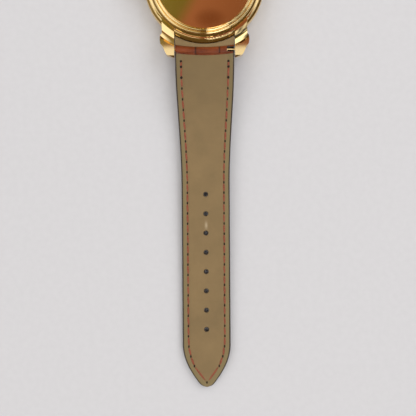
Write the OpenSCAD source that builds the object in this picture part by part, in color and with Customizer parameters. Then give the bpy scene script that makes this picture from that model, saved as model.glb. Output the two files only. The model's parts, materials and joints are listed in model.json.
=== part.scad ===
// Mechanical wristwatch with a snap back, curved spring bars and a padded leather strap.
// The watch lies dial down: +Z points out of the case back, +Y to twelve o'clock,
// -X to the crown. The origin is the centre of the crystal's outer face.

/* [Case] */
// Diameter of the middle case
case_d = 40; // [39:1:48]
// Height of the crystal's outer face above the bezel's edge
crystal_stand = 0.3; // [0.1:0.1:0.5]
// Thickness of the crystal
crystal_t = 1.5; // [1.2:0.05:1.8]
// Height of the bezel
bezel_h = 2.1; // [1.9:0.1:2.3]
// Height of the middle case
middle_h = 5.8; // [5.6:0.1:7.0]
// Height that the snap back stands above the middle case
back_h = 2.0; // [1.8:0.1:3.0]
// Width of the middle case's wall, from the flank to the bore
case_wall = 4.0; // [3.4:0.1:4.2]
// Width of the bezel's ring, from its edge to the crystal's gasket
bezel_w = 2.4; // [2.0:0.1:2.8]
// Angle that the back's opening lip spans
lip_angle = 70; // [30:5:90]

/* [Lugs and spring bars] */
// Gap between two lugs
lug_gap = 20.1; // [16:0.05:24.5]
// Width of one lug
lug_w = 4.7; // [3.8:0.1:5.2]
// Distance from the case's flank to the spring bar's axis
bar_offset = 2.0; // [1.9:0.1:2.6]
// Height of the spring bar's axis
bar_z = 6.4; // [6.0:0.1:6.8]
// Radius of the spring bar's tube
bar_r = 0.8; // [0.6:0.01:1.0]
// Radius of the spring bar's tips
bar_tip_r = 0.4; // [0.3:0.05:0.5]
// Length of a spring bar's thin tip, from its tube to the lug
bar_tip_l = 2.6; // [0.8:0.1:3]
// How far the middle of a curved spring bar stands out from its tips
bar_sagitta = 0.75; // [0.5:0.05:1.0]

/* [Crown] */
// Diameter of the crown
crown_d = 5.8; // [5:0.1:6.4]
// Length of the crown
crown_l = 3.4; // [2.8:0.1:4.5]
// Number of grooves round the crown
crown_grooves = 30; // [20:1:36]
// Height of the stem's axis above the main plate
stem_lift = 0.6; // [0.5:0.05:0.7]
// Radius of the stem
stem_r = 0.6; // [0.4:0.05:0.65]
// Radius of the tube that the crown slides on
tube_r = 1.3; // [1.1:0.05:1.4]

/* [Strap] */
// Gap between the strap and each lug
strap_gap = 0.3; // [0.1:0.05:0.5]
// Width of the strap at its holes and at the buckle
strap_end_w = 16.1; // [14:0.1:18]
// Length of the half with the holes, from its bar to its tip
long_l = 112.9; // [94:0.1:136]
// Length of the pointed end
tip_l = 14.5; // [12:0.5:20]
// Length of the half with the buckle, from its bar to the buckle's bar
short_l = 75; // [66:0.5:90]
// Thickness of the padded part
padded_t = 4.1; // [3.4:0.1:4.4]
// Thickness of the thin ends
thin_t = 2.3; // [2.0:0.1:2.6]
// Thickness of the front leather under the filler
front_t = 1.0; // [0.7:0.1:1.3]
// Thickness of the lining
lining_t = 0.7; // [0.5:0.1:0.9]
// Number of adjustment holes
holes = 8; // [5:1:9]
// Distance between two holes
hole_pitch = 6.5; // [6:0.1:7]
// Diameter of an adjustment hole
hole_d = 1.7; // [1.4:0.1:2.2]
// Distance from the tip to the first hole
tip_to_hole = 19.4; // [17:0.1:24]
// Distance between two stitches
stitch_pitch = 3.45; // [2.5:0.05:4.5]
// Distance from the strap's edge to the seam
seam_inset = 1.9; // [1.5:0.1:2.4]

/* [Buckle and keepers] */
// Radius of the buckle's bar
buckle_bar_r = 0.65; // [0.5:0.05:0.75]
// Length of the buckle, from its bar to its far edge
buckle_l = 11.4; // [10:0.1:14]
// Thickness of the buckle's frame
buckle_t = 1.8; // [1.4:0.1:2.2]
// Width of the buckle's far bar and its sides
buckle_rim = 2.1; // [1.6:0.1:2.6]
// Width of the tongue
tongue_w = 2.2; // [1.6:0.1:2.6]
// Thickness of a keeper's leather
keeper_t = 1.0; // [0.8:0.1:1.2]
// Width of a keeper along the strap
keeper_w = 5; // [4:0.5:6]

/* [Movement] */
// Diameter of the movement
movement_d = 27; // [26.9:0.1:27.4]
// Thickness of the main plate
plate_t = 1.65; // [1.6:0.05:1.7]
// Module of the centre wheel and the third pinion
centre_m = 0.145; // [0.14:0.005:0.15]
// Module of the third wheel and the fourth pinion
third_m = 0.13; // [0.125:0.005:0.135]
// Module of the fourth wheel and the escape pinion
fourth_m = 0.105; // [0.1:0.005:0.11]
// Module of the barrel's teeth and the centre pinion
barrel_m = 0.16; // [0.155:0.005:0.165]
// Module of the ratchet and crown wheels
winding_m = 0.15; // [0.145:0.005:0.155]
// Module of the motion work under the dial
motion_m = 0.12; // [0.115:0.005:0.125]
// Distance from the centre to the small seconds
seconds_offset = 7.2; // [7:0.1:7.4]
// Radius of the balance wheel
balance_r = 4.2; // [3.8:0.1:4.3]

/* [Hidden] */
$fn = 96;
running = 0.05;      // radial clearance of a shaft in its hole
pivot_r = 0.1;       // radius of a train pivot
jewel_r = 0.5;       // radius of a train jewel
jewel_hole_r = pivot_r + 0.04;

gold = "#d9b167";
steel = "#c9ccd0";
brass = "#cfae62";
ruby = "#b3224a";
alligator = "#73401f";
khaki = "#8d7651";
thread_brown = "#96553c";

case_r = case_d / 2;
bore_r = case_r - case_wall;
crystal_edge_r = case_r - 0.6 - bezel_w;
gasket_w = 0.4;
crystal_r = crystal_edge_r - gasket_w;
bezel_z = crystal_stand;
middle_z = bezel_z + bezel_h;
back_z = middle_z + middle_h;
disc_z = back_z + back_h;
seam_r = case_r - 1.7;
snap_r = seam_r - 1.0;
shelf_z = crystal_t + 0.05;      // bezel's shelf that the crystal seats on
dial_z = crystal_t + 1.4;        // room for the three hands
dial_t = 0.4;
dial_r = bore_r - 0.4;
plate_z = dial_z + dial_t + 0.05;
train_z = plate_z + plate_t;
stem_z = train_z + stem_lift;
snap_seat_z = stem_z + tube_r + 0.1;
movement_r = movement_d / 2;
bridge_z = train_z + 1.95;
bridge_t = 0.6;
winding_z = bridge_z + bridge_t + 0.05;
winding_t = 0.35;
rim_r = movement_r - 0.75;

// Places of the train's arbors
centre_xy = [0, 0];
fourth_xy = [0, -seconds_offset];
centre_third = centre_m * (64 + 8) / 2;
third_fourth = third_m * (60 + 8) / 2;
third_y = -(centre_third * centre_third - third_fourth * third_fourth
    + seconds_offset * seconds_offset) / (2 * seconds_offset);
third_xy = [-sqrt(centre_third * centre_third - third_y * third_y), third_y];
escape_xy = fourth_xy + fourth_m * (70 + 7) / 2 * [cos(-20), sin(-20)];
balance_xy = [movement_r - 1.3 - balance_r, -2.2];
fork_line = balance_xy - escape_xy;
fork_unit = fork_line / norm(fork_line);
fork_angle = atan2(fork_line[1], fork_line[0]);
fork_distance = 3.1;
pallet_xy = escape_xy + fork_distance * fork_unit;
cock_dir = atan2(balance_xy[1], balance_xy[0]);
barrel_xy = barrel_m * (72 + 12) / 2 * [cos(115), sin(115)];
winding_gap = winding_m * (56 + 34) / 2;
crown_wheel_xy = [barrel_xy[0] - sqrt(winding_gap * winding_gap - barrel_xy[1] * barrel_xy[1]), 0];
contrate_r = 1.8;
pinion_x = crown_wheel_xy[0] - contrate_r;
pinion_r = bridge_z + 0.08 - stem_z;
minute_xy = motion_m * 20 * [cos(60), sin(60)];
drum_r = barrel_m * 36 - 0.35;
split_y = crown_wheel_xy[1] - 2.8; // line where the two bridges meet
cove_w = 2.9;                    // width of the cove turned into the lugs
cove_drop = 0.45;
bridge_gap = 0.1;
screw_shank_r = 0.4;
screw_bite = 0.4;
wheel_screw_r = 0.4;             // tapped hole in the crown wheel's stud
casing_head_r = 1.0;
tube_bore_r = tube_r - 0.35;
crown_recess_r = tube_r + 0.45;

// Places of the strap
strap_w = lug_gap - 2 * strap_gap;
bar_y = case_r + bar_offset;
bar_bow_r = (pow(strap_w / 2, 2) + pow(bar_sagitta, 2)) / (2 * bar_sagitta);
bow_centre_y = bar_y + bar_sagitta - bar_bow_r;
loop_r = bar_r + 0.75;
buckle_lift = 3.9;               // height of the strap above the table at the buckle
buckle_z = buckle_lift + thin_t / 2;
buckle_y = bar_y + short_l;
lining_from = bar_sagitta + loop_r + 0.3;
filler_from = lining_from + 1.4;
filler_inset = seam_inset + 0.9;
first_hole = long_l - tip_to_hole;
seam_from = 2.65;
long_seam_end = long_l - tip_l;
tip_blunt = 1.8;                 // how far the very end is rounded off
long_stitches = floor((long_seam_end - seam_from) / stitch_pitch);
tip_stitches = 5;
short_stitches = floor((short_l - 12 - seam_from) / stitch_pitch);
fixed_keeper_u = short_l - 8;
sliding_keeper_u = fixed_keeper_u - 10.5;
notch_l = 2.45;                  // opening at a loop's end that shows the bar's tip
notch_w = 1.8;
buckle_half = strap_end_w / 2 + 0.25;
ear_w = 1.7;
tongue_drop = buckle_t / 2 + 0.03;
tongue_t = 0.85;
tongue_reach = norm([buckle_l, tongue_drop + tongue_t]);
buckle_tilt = asin((buckle_z - 0.01) / tongue_reach) - atan2(tongue_drop + tongue_t, buckle_l);

function smooth(x) = let (t = max(0, min(1, x))) t * t * (3 - 2 * t);

// Half width of the long and short strap at a distance from the bar
function taper(u, full_at) = strap_end_w / 2
    + (strap_w - strap_end_w) / 2 * (1 - smooth((u - 3) / (full_at - 3)));
function tip_width(u, w, end, blunt) = let (t = (u - (end - tip_l)) / tip_l, e = max(0, end - u))
    t <= 0 ? w : w * pow(max(0, 1 - t * t), 0.82) + blunt * exp(-e / 1.2) * sqrt(e);
function long_half(u, inset = 0) =
    tip_width(u, taper(u, 45) - inset, long_l - inset * 0.75,
              tip_blunt * max(0, 1 - inset / seam_inset));
function short_half(u, inset = 0) = taper(u, 42) - inset;

// Thickness and underside of each half
station_step = 2;                // every layer of a half shares these stations, so they meet
long_stations = [for (i = [0:ceil(long_l / station_step) + 1]) i * station_step];
short_stations = [for (i = [0:ceil(short_l / station_step) + 1]) i * station_step];
long_low_line = [for (u = long_stations) [u, (bar_z - loop_r) * (1 - smooth((u - 2) / 27))]];
long_thick_line = [for (u = long_stations) [u, 2 * loop_r + (padded_t - 2 * loop_r) * smooth(u / 9)
    - (padded_t - thin_t) * smooth((u - 12) / 85)]];
short_low_line = [for (u = short_stations) [u, bar_z - loop_r
    - (bar_z - loop_r - buckle_z + thin_t / 2) * smooth((u - 2) / 40)]];
short_thick_line = [for (u = short_stations) [u, 2 * loop_r + (padded_t - 2 * loop_r) * smooth(u / 9)
    - (padded_t - thin_t) * smooth((u - 10) / 34)]];
function long_low(u) = lookup(u, long_low_line);
function long_thick(u) = lookup(u, long_thick_line);
function short_low(u) = lookup(u, short_low_line);
function short_thick(u) = lookup(u, short_thick_line);
function between(stations, from, to) = concat([from],
    [for (u = stations) if (u > from + 0.01 && u < to - 0.01) u], [to]);

function gear_points(n, m) = [for (i = [0:n - 1], k = [0:3])
    let (
        pitch = 360 / n,
        r = m * n / 2 + (k == 1 || k == 2 ? 0.7 : -0.9) * m,
        a = i * pitch + pitch * [-0.24, -0.08, 0.08, 0.24][k]
    ) [r * cos(a), r * sin(a)]];

function spiral(r0, r1, turns, half, steps) = concat(
    [for (i = [0:steps]) let (a = 360 * turns * i / steps, r = r0 + (r1 - r0) * i / steps + half)
        [r * cos(a), r * sin(a)]],
    [for (i = [steps:-1:0]) let (a = 360 * turns * i / steps, r = r0 + (r1 - r0) * i / steps - half)
        [r * cos(a), r * sin(a)]]);

module at(xy, z = 0) {
    translate([xy[0], xy[1], z])
        children();
}

module ring(r_out, r_in, z, h) {
    translate([0, 0, z])
        difference() {
            cylinder(r = r_out, h = h);
            translate([0, 0, -1])
                cylinder(r = r_in, h = h + 2);
        }
}

// A toothed wheel with crossings between its rim and its hub
module wheel(n, m, h, spokes, hub_r) {
    rim = m * n / 2 - 2.6 * m;
    linear_extrude(height = h)
        difference() {
            polygon(gear_points(n, m));
            difference() {
                circle(r = rim);
                circle(r = hub_r);
                for (i = [0:spokes - 1])
                    rotate(i * 360 / spokes)
                        translate([0, -0.16])
                            square([rim + 0.1, 0.32]);
            }
        }
}

module pinion(n, m, h) {
    linear_extrude(height = h)
        polygon(gear_points(n, m));
}

// An arbor with a pivot at each end
module arbor(r, low, high) {
    translate([0, 0, low])
        cylinder(r = r, h = high - low, $fn = 32);
    translate([0, 0, low - 0.3])
        cylinder(r = pivot_r, h = high - low + 0.6, $fn = 32);
}

module slotted_screw(head_r, head_h, shank_r, shank_l) {
    difference() {
        union() {
            cylinder(r = head_r, h = head_h, $fn = 48);
            translate([0, 0, -shank_l])
                cylinder(r = shank_r, h = shank_l + head_h / 2, $fn = 32);
        }
        translate([-head_r - 1, -head_r * 0.12, head_h * 0.55])
            cube([2 * head_r + 2, head_r * 0.24, head_h]);
    }
}

// ---------------------------------------------------------------- case

// One lug: its outline seen from the back, cut to its outline seen from the side
module lug() {
    inner = lug_gap / 2;
    outer = inner + lug_w;
    end_y = bar_y + 2.9;
    intersection() {
        translate([0, 0, middle_z])
            linear_extrude(height = middle_h + 1)
                polygon([
                    [inner, bore_r - 4], [outer - 0.65, bore_r - 5], [outer - 0.6, bar_y - 5.2],
                    [outer - 0.1, bar_y - 4.5], [outer, bar_y - 2.9], [outer - 0.2, bar_y - 1.5],
                    [outer - 1.0, bar_y - 0.6], [outer - 1.6, bar_y + 1.0], [outer - 2.2, end_y - 0.85],
                    [outer - 2.7, end_y - 0.6], [inner + 0.25, end_y], [inner, end_y - 0.15]
                ]);
        rotate([90, 0, 90])
            linear_extrude(height = outer + 5)
                polygon(concat(
                    [[bore_r - 6, middle_z + 0.3]],
                    [for (i = [0:10]) let (a = 9 * i)
                        [case_r - 3 + (end_y - case_r + 3) * sin(a),
                         middle_z + 0.3 + (middle_h - 1.4) * (1 - cos(a))]],
                    [[end_y, back_z - 0.3], [end_y - 0.6, back_z + 0.3], [bore_r - 6, back_z + 0.3]]
                ));
    }
}

module mid_case() {
    color(gold)
        difference() {
            union() {
                rotate_extrude()
                    union() {
                        polygon([
                            [bore_r, middle_z], [case_r - 0.7, middle_z], [case_r - 0.15, middle_z + 0.6],
                            [case_r, middle_z + 1.4], [case_r, back_z - 1.9], [case_r - 0.25, back_z - 1.1],
                            [case_r - 0.9, back_z - 0.5], [case_r - 1.25, back_z - 0.3], [bore_r, back_z - 0.3]
                        ]);
                        translate([case_r - 1.25, back_z - 0.32])
                            circle(r = 0.32, $fn = 32);
                        translate([seam_r, back_z - 0.5])
                            square([case_r - 1.25 - seam_r, 0.5]);
                    }
                for (sx = [0, 1], sy = [0, 1])
                    mirror([sx, 0, 0])
                        mirror([0, sy, 0])
                            lug();
            }
            // bore and snap seat
            translate([0, 0, middle_z - 1])
                cylinder(r = bore_r, h = middle_h + 3);
            translate([0, 0, snap_seat_z])
                cylinder(r = snap_r + running, h = 3);
            translate([0, 0, back_z - 0.3])
                cylinder(r = seam_r, h = 3);
            // turned cove that leaves the lug ends proud, with a sloped step at its far side
            rotate_extrude()
                polygon(concat(
                    [[case_r - 0.7, back_z + 1], [case_r - 0.7, back_z - 0.45]],
                    [for (i = [1:11]) let (t = i / 12)
                        [case_r - 0.7 + (cove_w + 0.7) * t, back_z - 0.45 - cove_drop * sin(180 * t)]],
                    [[case_r + cove_w, back_z - 0.45], [case_r + cove_w + 0.75, back_z + 0.2],
                     [case_r + cove_w + 0.75, back_z + 1]]
                ));
            // recess for the back's opening lip
            rotate_extrude(angle = lip_angle + 2, start = 180 - lip_angle / 2 - 1)
                translate([seam_r - 0.2 - running, back_z - 0.38 - running])
                    square([0.7 + 2 * running, 1]);
            // hole for the crown's tube
            translate([-bore_r + 2, 0, stem_z])
                rotate([0, -90, 0])
                    cylinder(r = tube_r, h = case_wall + 4);
            // blind holes for the spring bars' tips
            for (s = [-1, 1])
                translate([-lug_gap / 2 - 1.2, s * bar_y, bar_z])
                    rotate([0, 90, 0])
                        cylinder(r = bar_tip_r + running, h = lug_gap + 2.4);
        }
}

module bezel() {
    r_out = case_r - 0.6;
    color(gold)
        rotate_extrude()
            difference() {
                union() {
                    polygon([
                        [crystal_edge_r - 1.0, middle_z], [crystal_edge_r - 1.0, shelf_z],
                        [crystal_edge_r, shelf_z], [crystal_edge_r, bezel_z],
                        [crystal_edge_r + 0.5, bezel_z], [r_out - 0.55, bezel_z + 0.75],
                        [r_out, bezel_z + 1.35], [r_out, middle_z]
                    ]);
                    translate([crystal_edge_r + 0.5, bezel_z + 0.35])
                        circle(r = 0.35, $fn = 32);
                }
                translate([0, bezel_z])
                    square([crystal_edge_r, shelf_z - bezel_z]);
            }
}

module crystal() {
    color("#dfe9ee", 0.35)
        rotate_extrude()
            polygon([
                [0, 0], [crystal_r - 0.35, 0], [crystal_r, 0.35], [crystal_r, crystal_t], [0, crystal_t]
            ]);
}

module crystal_gasket() {
    color("#2a2a2a")
        ring(crystal_edge_r, crystal_r, bezel_z + 0.15, shelf_z - bezel_z - 0.15);
}

// Stepped snap back: a flat disc inside two round beads, a slope and the snap skirt
module case_back() {
    disc_r = seam_r - 2.5;
    color(gold)
        union() {
            rotate_extrude()
                union() {
                    polygon([
                        [0, disc_z - 1.2], [disc_r - 0.6, disc_z - 1.2], [snap_r - 0.6, back_z - 0.2],
                        [snap_r - 0.6, snap_seat_z + 0.45], [snap_r, snap_seat_z + 0.45],
                        [snap_r, back_z - 0.3], [seam_r, back_z - 0.3], [seam_r, back_z + 0.2],
                        [seam_r - 0.15, back_z + 0.4], [seam_r - 0.75, disc_z - 1.0],
                        [seam_r - 0.95, disc_z - 1.0], [seam_r - 1.0, disc_z - 0.7],
                        [disc_r + 1.05, disc_z - 0.6], [disc_r + 0.9, disc_z - 0.5],
                        [disc_r + 0.05, disc_z - 0.25], [disc_r, disc_z], [0, disc_z]
                    ]);
                    translate([seam_r - 1.05, disc_z - 0.75])
                        circle(r = 0.42, $fn = 48);
                    translate([disc_r + 0.52, disc_z - 0.47])
                        circle(r = 0.46, $fn = 48);
                }
            rotate_extrude(angle = lip_angle, start = 180 - lip_angle / 2)
                translate([seam_r - 0.2, back_z - 0.38])
                    square([0.7, 0.32]);
        }
}

module case_back_gasket() {
    color("#2a2a2a")
        ring(snap_r, snap_r - 0.9, snap_seat_z, 0.43);
}

module crown_tube() {
    color(gold)
        translate([-bore_r, 0, stem_z])
            rotate([0, -90, 0])
                ring(tube_r, tube_bore_r, 0, case_wall + 1.1);
}

// ---------------------------------------------------------------- dial and hands

module dial() {
    color("#f3f1ea")
        difference() {
            translate([0, 0, dial_z])
                cylinder(r = dial_r, h = dial_t);
            translate([0, 0, dial_z - 1])
                cylinder(r = 1.0, h = dial_t + 2);
            at(fourth_xy, dial_z - 1)
                cylinder(r = 0.35, h = dial_t + 2);
            at(fourth_xy, dial_z - 1)
                cylinder(r = 3.2, h = 1.06);
        }
}

module hour_markers() {
    color(gold)
        for (hour = [1:12])
            if (hour != 6)
                rotate(90 + 30 * hour)
                    for (side = hour == 12 ? [-0.45, 0.45] : [0])
                        translate([dial_r - 4.4, side - 0.3, dial_z - 0.28])
                            cube([2.9, 0.6, 0.28]);
}

module dial_flange() {
    color("#e9e6dc")
        rotate_extrude()
            polygon([
                [dial_r - 0.6, dial_z], [dial_r, dial_z], [dial_r, middle_z + 0.05],
                [crystal_edge_r - 1.1, middle_z - 0.05], [crystal_edge_r - 1.1, crystal_t + 0.1],
                [crystal_edge_r - 1.35, crystal_t + 0.1]
            ]);
}

// A tapered hand that points to twelve before it is turned
module hand_blade(length, tail, width) {
    polygon([
        [-width / 3, -tail], [width / 3, -tail], [width / 2, 0], [width * 0.45, length * 0.7],
        [0.06, length], [-0.06, length], [-width * 0.45, length * 0.7], [-width / 2, 0]
    ]);
}

module hand(length, tail, width, hub_r, hole_r, angle, z, h) {
    translate([0, 0, z])
        rotate(angle)
            linear_extrude(height = h)
                difference() {
                    union() {
                        hand_blade(length, tail, width);
                        circle(r = hub_r, $fn = 48);
                    }
                    circle(r = hole_r, $fn = 48);
                }
}

module hour_hand() {
    color(gold)
        hand(dial_r - 6.6, 2, 1.2, 1.25, 0.85, 30 * 10.15, dial_z - 0.48, 0.14);
}

module minute_hand() {
    color(gold)
        hand(dial_r - 2.4, 2.6, 1.0, 1.0, 0.5, 6 * 9, dial_z - 0.75, 0.14);
}

module seconds_hand() {
    color(gold)
        at(fourth_xy)
            hand(2.7, 1.0, 0.3, 0.38, 0.12, 6 * 33, dial_z - 0.2, 0.1);
}

module cannon_pinion() {
    color(steel)
        translate([0, 0, dial_z - 0.75])
            difference() {
                union() {
                    cylinder(r = 0.5, h = plate_z - dial_z + 1.3, $fn = 48);
                    translate([0, 0, plate_z + 0.45 - dial_z + 0.75])
                        pinion(10, motion_m, 0.45);
                }
                translate([0, 0, -1])
                    cylinder(r = 0.28, h = 5, $fn = 48);
            }
}

module minute_wheel() {
    color(brass)
        at(minute_xy, plate_z)
            difference() {
                union() {
                    translate([0, 0, 0.6])
                        wheel(30, motion_m, 0.2, 4, 0.7);
                    translate([0, 0, 0.1])
                        pinion(8, motion_m, 0.55);
                }
                cylinder(r = 0.25 + running, h = 3, center = true, $fn = 48);
            }
}

module hour_wheel() {
    color(brass)
        difference() {
            union() {
                translate([0, 0, plate_z + 0.1])
                    pinion(32, motion_m, 0.2);
                translate([0, 0, dial_z - 0.5])
                    cylinder(r = 0.85, h = plate_z + 0.2 - dial_z + 0.5, $fn = 64);
            }
            translate([0, 0, dial_z - 1])
                cylinder(r = 0.5 + running, h = 3, $fn = 64);
        }
}

// ---------------------------------------------------------------- movement, fixed pieces

module main_plate() {
    color(brass)
        difference() {
            translate([0, 0, plate_z])
                cylinder(r = movement_r, h = plate_t);
            // motion work under the dial
            difference() {
                union() {
                    at(centre_xy, plate_z - 1)
                        cylinder(r = motion_m * 16 + 0.3, h = 2);
                    at(minute_xy, plate_z - 1)
                        cylinder(r = motion_m * 15 + 0.3, h = 2);
                }
                at(minute_xy, plate_z)
                    cylinder(r = 0.25, h = 2, $fn = 48);
            }
            // winding and sliding pinions
            translate([pinion_x - 3.2, -pinion_r - 0.2, stem_z - pinion_r - 0.15])
                cube([4.1, 2 * pinion_r + 0.4, plate_t + 2]);
            translate([-movement_r - 1, -0.75, stem_z - 0.75])
                cube([movement_r + 1 + pinion_x, 1.5, plate_t]);
            // bores
            at(centre_xy, plate_z - 1)
                cylinder(r = 0.3 + running, h = plate_t + 2, $fn = 48);
            at(fourth_xy, plate_z - 1)
                cylinder(r = 0.12 + running, h = plate_t + 2, $fn = 32);
            at(barrel_xy, train_z - 0.8)
                cylinder(r = 0.7 + running, h = 2, $fn = 48);
            for (p = [third_xy, escape_xy, pallet_xy, balance_xy])
                at(p, train_z - 0.35)
                    cylinder(r = jewel_r, h = 1, $fn = 48);
        }
}

// The bridge's plate with a rim that stands on the main plate
module bridge_blank(z, h) {
    translate([0, 0, z])
        linear_extrude(height = h)
            difference() {
                children();
                at(balance_xy)
                    circle(r = balance_r + 0.4);
                cock_arm(bridge_gap);
                cock_foot(bridge_gap);
                at_bridge_screws()
                    circle(r = screw_shank_r + running, $fn = 48);
                at_casing_screws()
                    circle(r = casing_head_r + bridge_gap, $fn = 48);
            }
}

module cock_arm(grow = 0) {
    intersection() {
        circle(r = movement_r - 0.2);
        at(balance_xy)
            union() {
                circle(r = 1.5 + grow);
                rotate(cock_dir)
                    translate([0, -1.3 - grow])
                        square([10, 2.6 + 2 * grow]);
            }
    }
}

module cock_foot(grow = 0) {
    difference() {
        intersection() {
            circle(r = movement_r - 0.1);
            rotate(cock_dir)
                translate([0, -3 - grow])
                    square([20, 6 + 2 * grow]);
        }
        circle(r = norm(balance_xy) + balance_r + 0.15 - grow);
    }
}

module at_bridge_screws() {
    for (a = [35, 78, 152, 222, 262, 292])
        rotate(a)
            translate([movement_r - 1.35, 0, 0])
                children();
}

module at_casing_screws() {
    for (a = [100, 280])
        rotate(a)
            translate([movement_r + 0.7, 0, 0])
                children();
}

module barrel_half() {
    intersection() {
        circle(r = movement_r - 0.2);
        translate([-20, split_y])
            square([40, 20]);
    }
}

module train_half() {
    intersection() {
        circle(r = movement_r - 0.2);
        translate([-20, split_y - 20.15])
            square([32, 20]);
        translate([-20, -20])
            square([20 + escape_xy[0] + 1.6, 40]);
    }
}

// The crown wheel turns on a stud that an arm under the bridge holds
module barrel_bridge() {
    stud_r = 0.7;
    color(steel)
        difference() {
            union() {
                bridge_blank(bridge_z, bridge_t)
                    barrel_half();
                at(crown_wheel_xy, bridge_z - 0.3)
                    rotate(-40)
                        translate([0, -0.35, 0])
                            cube([contrate_r + 1.1, 0.7, 0.3]);
                bridge_blank(train_z, bridge_z - train_z + 0.01)
                    difference() {
                        intersection() {
                            barrel_half();
                            translate([-20, 1.2])
                                square([40, 20]);
                        }
                        circle(r = rim_r);
                    }
            }
            at(crown_wheel_xy, bridge_z)
                difference() {
                    cylinder(r = contrate_r + 0.5, h = 3);
                    translate([0, 0, -1])
                        cylinder(r = stud_r, h = 1 + bridge_t, $fn = 48);
                }
            at(crown_wheel_xy, bridge_z - 0.3)
                cylinder(r = wheel_screw_r, h = 2, $fn = 48);
            at(barrel_xy, bridge_z - 1)
                cylinder(r = 1.0 + running, h = 3, $fn = 48);
            at(centre_xy, bridge_z - 1)
                cylinder(r = jewel_r, h = 3, $fn = 48);
        }
}

module train_bridge() {
    color(steel)
        difference() {
            union() {
                bridge_blank(bridge_z, bridge_t)
                    train_half();
                bridge_blank(train_z, bridge_z - train_z + 0.01)
                    difference() {
                        train_half();
                        circle(r = rim_r);
                    }
            }
            for (p = [third_xy, fourth_xy, escape_xy])
                at(p, bridge_z - 1)
                    cylinder(r = jewel_r, h = 3, $fn = 48);
        }
}

module balance_cock() {
    color(steel)
        difference() {
            union() {
                translate([0, 0, bridge_z])
                    linear_extrude(height = bridge_t + 0.1)
                        cock_arm();
                translate([0, 0, train_z])
                    linear_extrude(height = bridge_z - train_z + 0.01)
                        cock_foot();
            }
            at(balance_xy, bridge_z - 1)
                cylinder(r = jewel_r, h = 3, $fn = 48);
            rotate(cock_dir)
                translate([movement_r - 1.25, 0, bridge_z - 1])
                    cylinder(r = screw_shank_r + running, h = 3, $fn = 48);
        }
}

module pallet_bridge() {
    color(steel)
        at(pallet_xy, train_z)
            rotate(fork_angle)
                difference() {
                    union() {
                        translate([-0.75, -1.9, 0.62])
                            cube([1.5, 3.8, 0.35]);
                        for (s = [-1, 1])
                            translate([0, s * 1.9, 0])
                                cylinder(r = 0.5, h = 0.97, $fn = 48);
                    }
                    translate([0, 0, 0.3])
                        cylinder(r = 0.32, h = 2, $fn = 48);
                }
}

module bridge_screws() {
    top = bridge_z + bridge_t;
    color(steel) {
        at_bridge_screws()
            translate([0, 0, top])
                slotted_screw(0.75, 0.22, screw_shank_r, screw_bite);
        at(crown_wheel_xy, winding_z + winding_t + 0.02)
            slotted_screw(1.1, 0.2, wheel_screw_r - running, 0.9);
        rotate(cock_dir)
            translate([movement_r - 1.25, 0, top + 0.1])
                slotted_screw(0.75, 0.22, screw_shank_r, screw_bite);
    }
}

module jewel(z, r = jewel_r, h = 0.35) {
    translate([0, 0, z])
        difference() {
            cylinder(r = r, h = h, $fn = 48);
            translate([0, 0, -1])
                cylinder(r = jewel_hole_r, h = 3, $fn = 32);
        }
}

module jewels() {
    color(ruby) {
        for (p = [third_xy, escape_xy, pallet_xy, balance_xy])
            at(p)
                jewel(train_z - 0.35);
        for (p = [centre_xy, third_xy, fourth_xy, escape_xy])
            at(p)
                jewel(bridge_z, jewel_r, 0.45);
        at(balance_xy)
            jewel(bridge_z, jewel_r, 0.55);
        at(pallet_xy)
            jewel(train_z + 0.62, 0.32, 0.3);
    }
}

module click() {
    reach = winding_m * 28 + 0.2;
    color(steel)
        at(barrel_xy, winding_z)
            rotate(20)
                difference() {
                    union() {
                        translate([reach + 1.5, 0, 0])
                            cylinder(r = 0.9, h = winding_t, $fn = 48);
                        linear_extrude(height = winding_t)
                            polygon([
                                [reach + 0.75, 0.4], [reach + 2.0, 0.6], [reach + 1.2, 2.4], [reach - 0.02, 1.9]
                            ]);
                    }
                    translate([reach + 1.5, 0, -1])
                        cylinder(r = 0.35, h = 3, $fn = 32);
                }
}

module movement_ring() {
    color("#b9bcc0")
        difference() {
            ring(bore_r - 0.03, movement_r + 0.02, plate_z + 0.02, snap_seat_z - plate_z - 0.1);
            translate([-bore_r - 1, -1.4, stem_z - 1.4])
                cube([bore_r - movement_r + 3, 2.8, 6]);
            at_casing_screws()
                translate([0, 0, snap_seat_z - 1.6])
                    cylinder(r = 0.4, h = 3, $fn = 32);
        }
}

module casing_screws() {
    top = snap_seat_z - 0.08;
    color(steel)
        at_casing_screws()
            translate([0, 0, top])
                slotted_screw(casing_head_r, 0.3, 0.38, 1.2);
}

// ---------------------------------------------------------------- winding

module crown() {
    inner_x = -case_r - 0.25;
    color(gold)
        translate([inner_x, 0, stem_z])
            rotate([0, -90, 0])
                difference() {
                    rotate_extrude()
                        polygon([
                            [0, 0], [crown_d / 2 - 0.3, 0], [crown_d / 2, 0.3], [crown_d / 2, crown_l - 0.7],
                            [crown_d / 2 - 0.35, crown_l - 0.3], [crown_d / 2 - 1.2, crown_l - 0.05],
                            [0, crown_l]
                        ]);
                    translate([0, 0, -1])
                        cylinder(r = crown_recess_r, h = 2.4);
                    for (i = [0:crown_grooves - 1])
                        rotate(i * 360 / crown_grooves)
                            translate([crown_d / 2 + 0.06, 0, -1])
                                cylinder(r = 0.2, h = crown_l + 2, $fn = 24);
                    translate([0, 0, -1])
                        cylinder(r = stem_r, h = crown_l, $fn = 48);
                }
}

module crown_gasket() {
    color("#2a2a2a")
        translate([-case_r - 0.6, 0, stem_z])
            rotate([0, -90, 0])
                ring(crown_recess_r, tube_r + running / 2, 0, 0.45);
}

module winding_stem() {
    tip_x = crown_wheel_xy[0] - contrate_r + 0.9;
    color(steel)
        translate([tip_x, 0, stem_z])
            rotate([0, -90, 0])
                cylinder(r = stem_r, h = case_r + 0.2 + crown_l - 1.2 + tip_x, $fn = 48);
}

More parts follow.
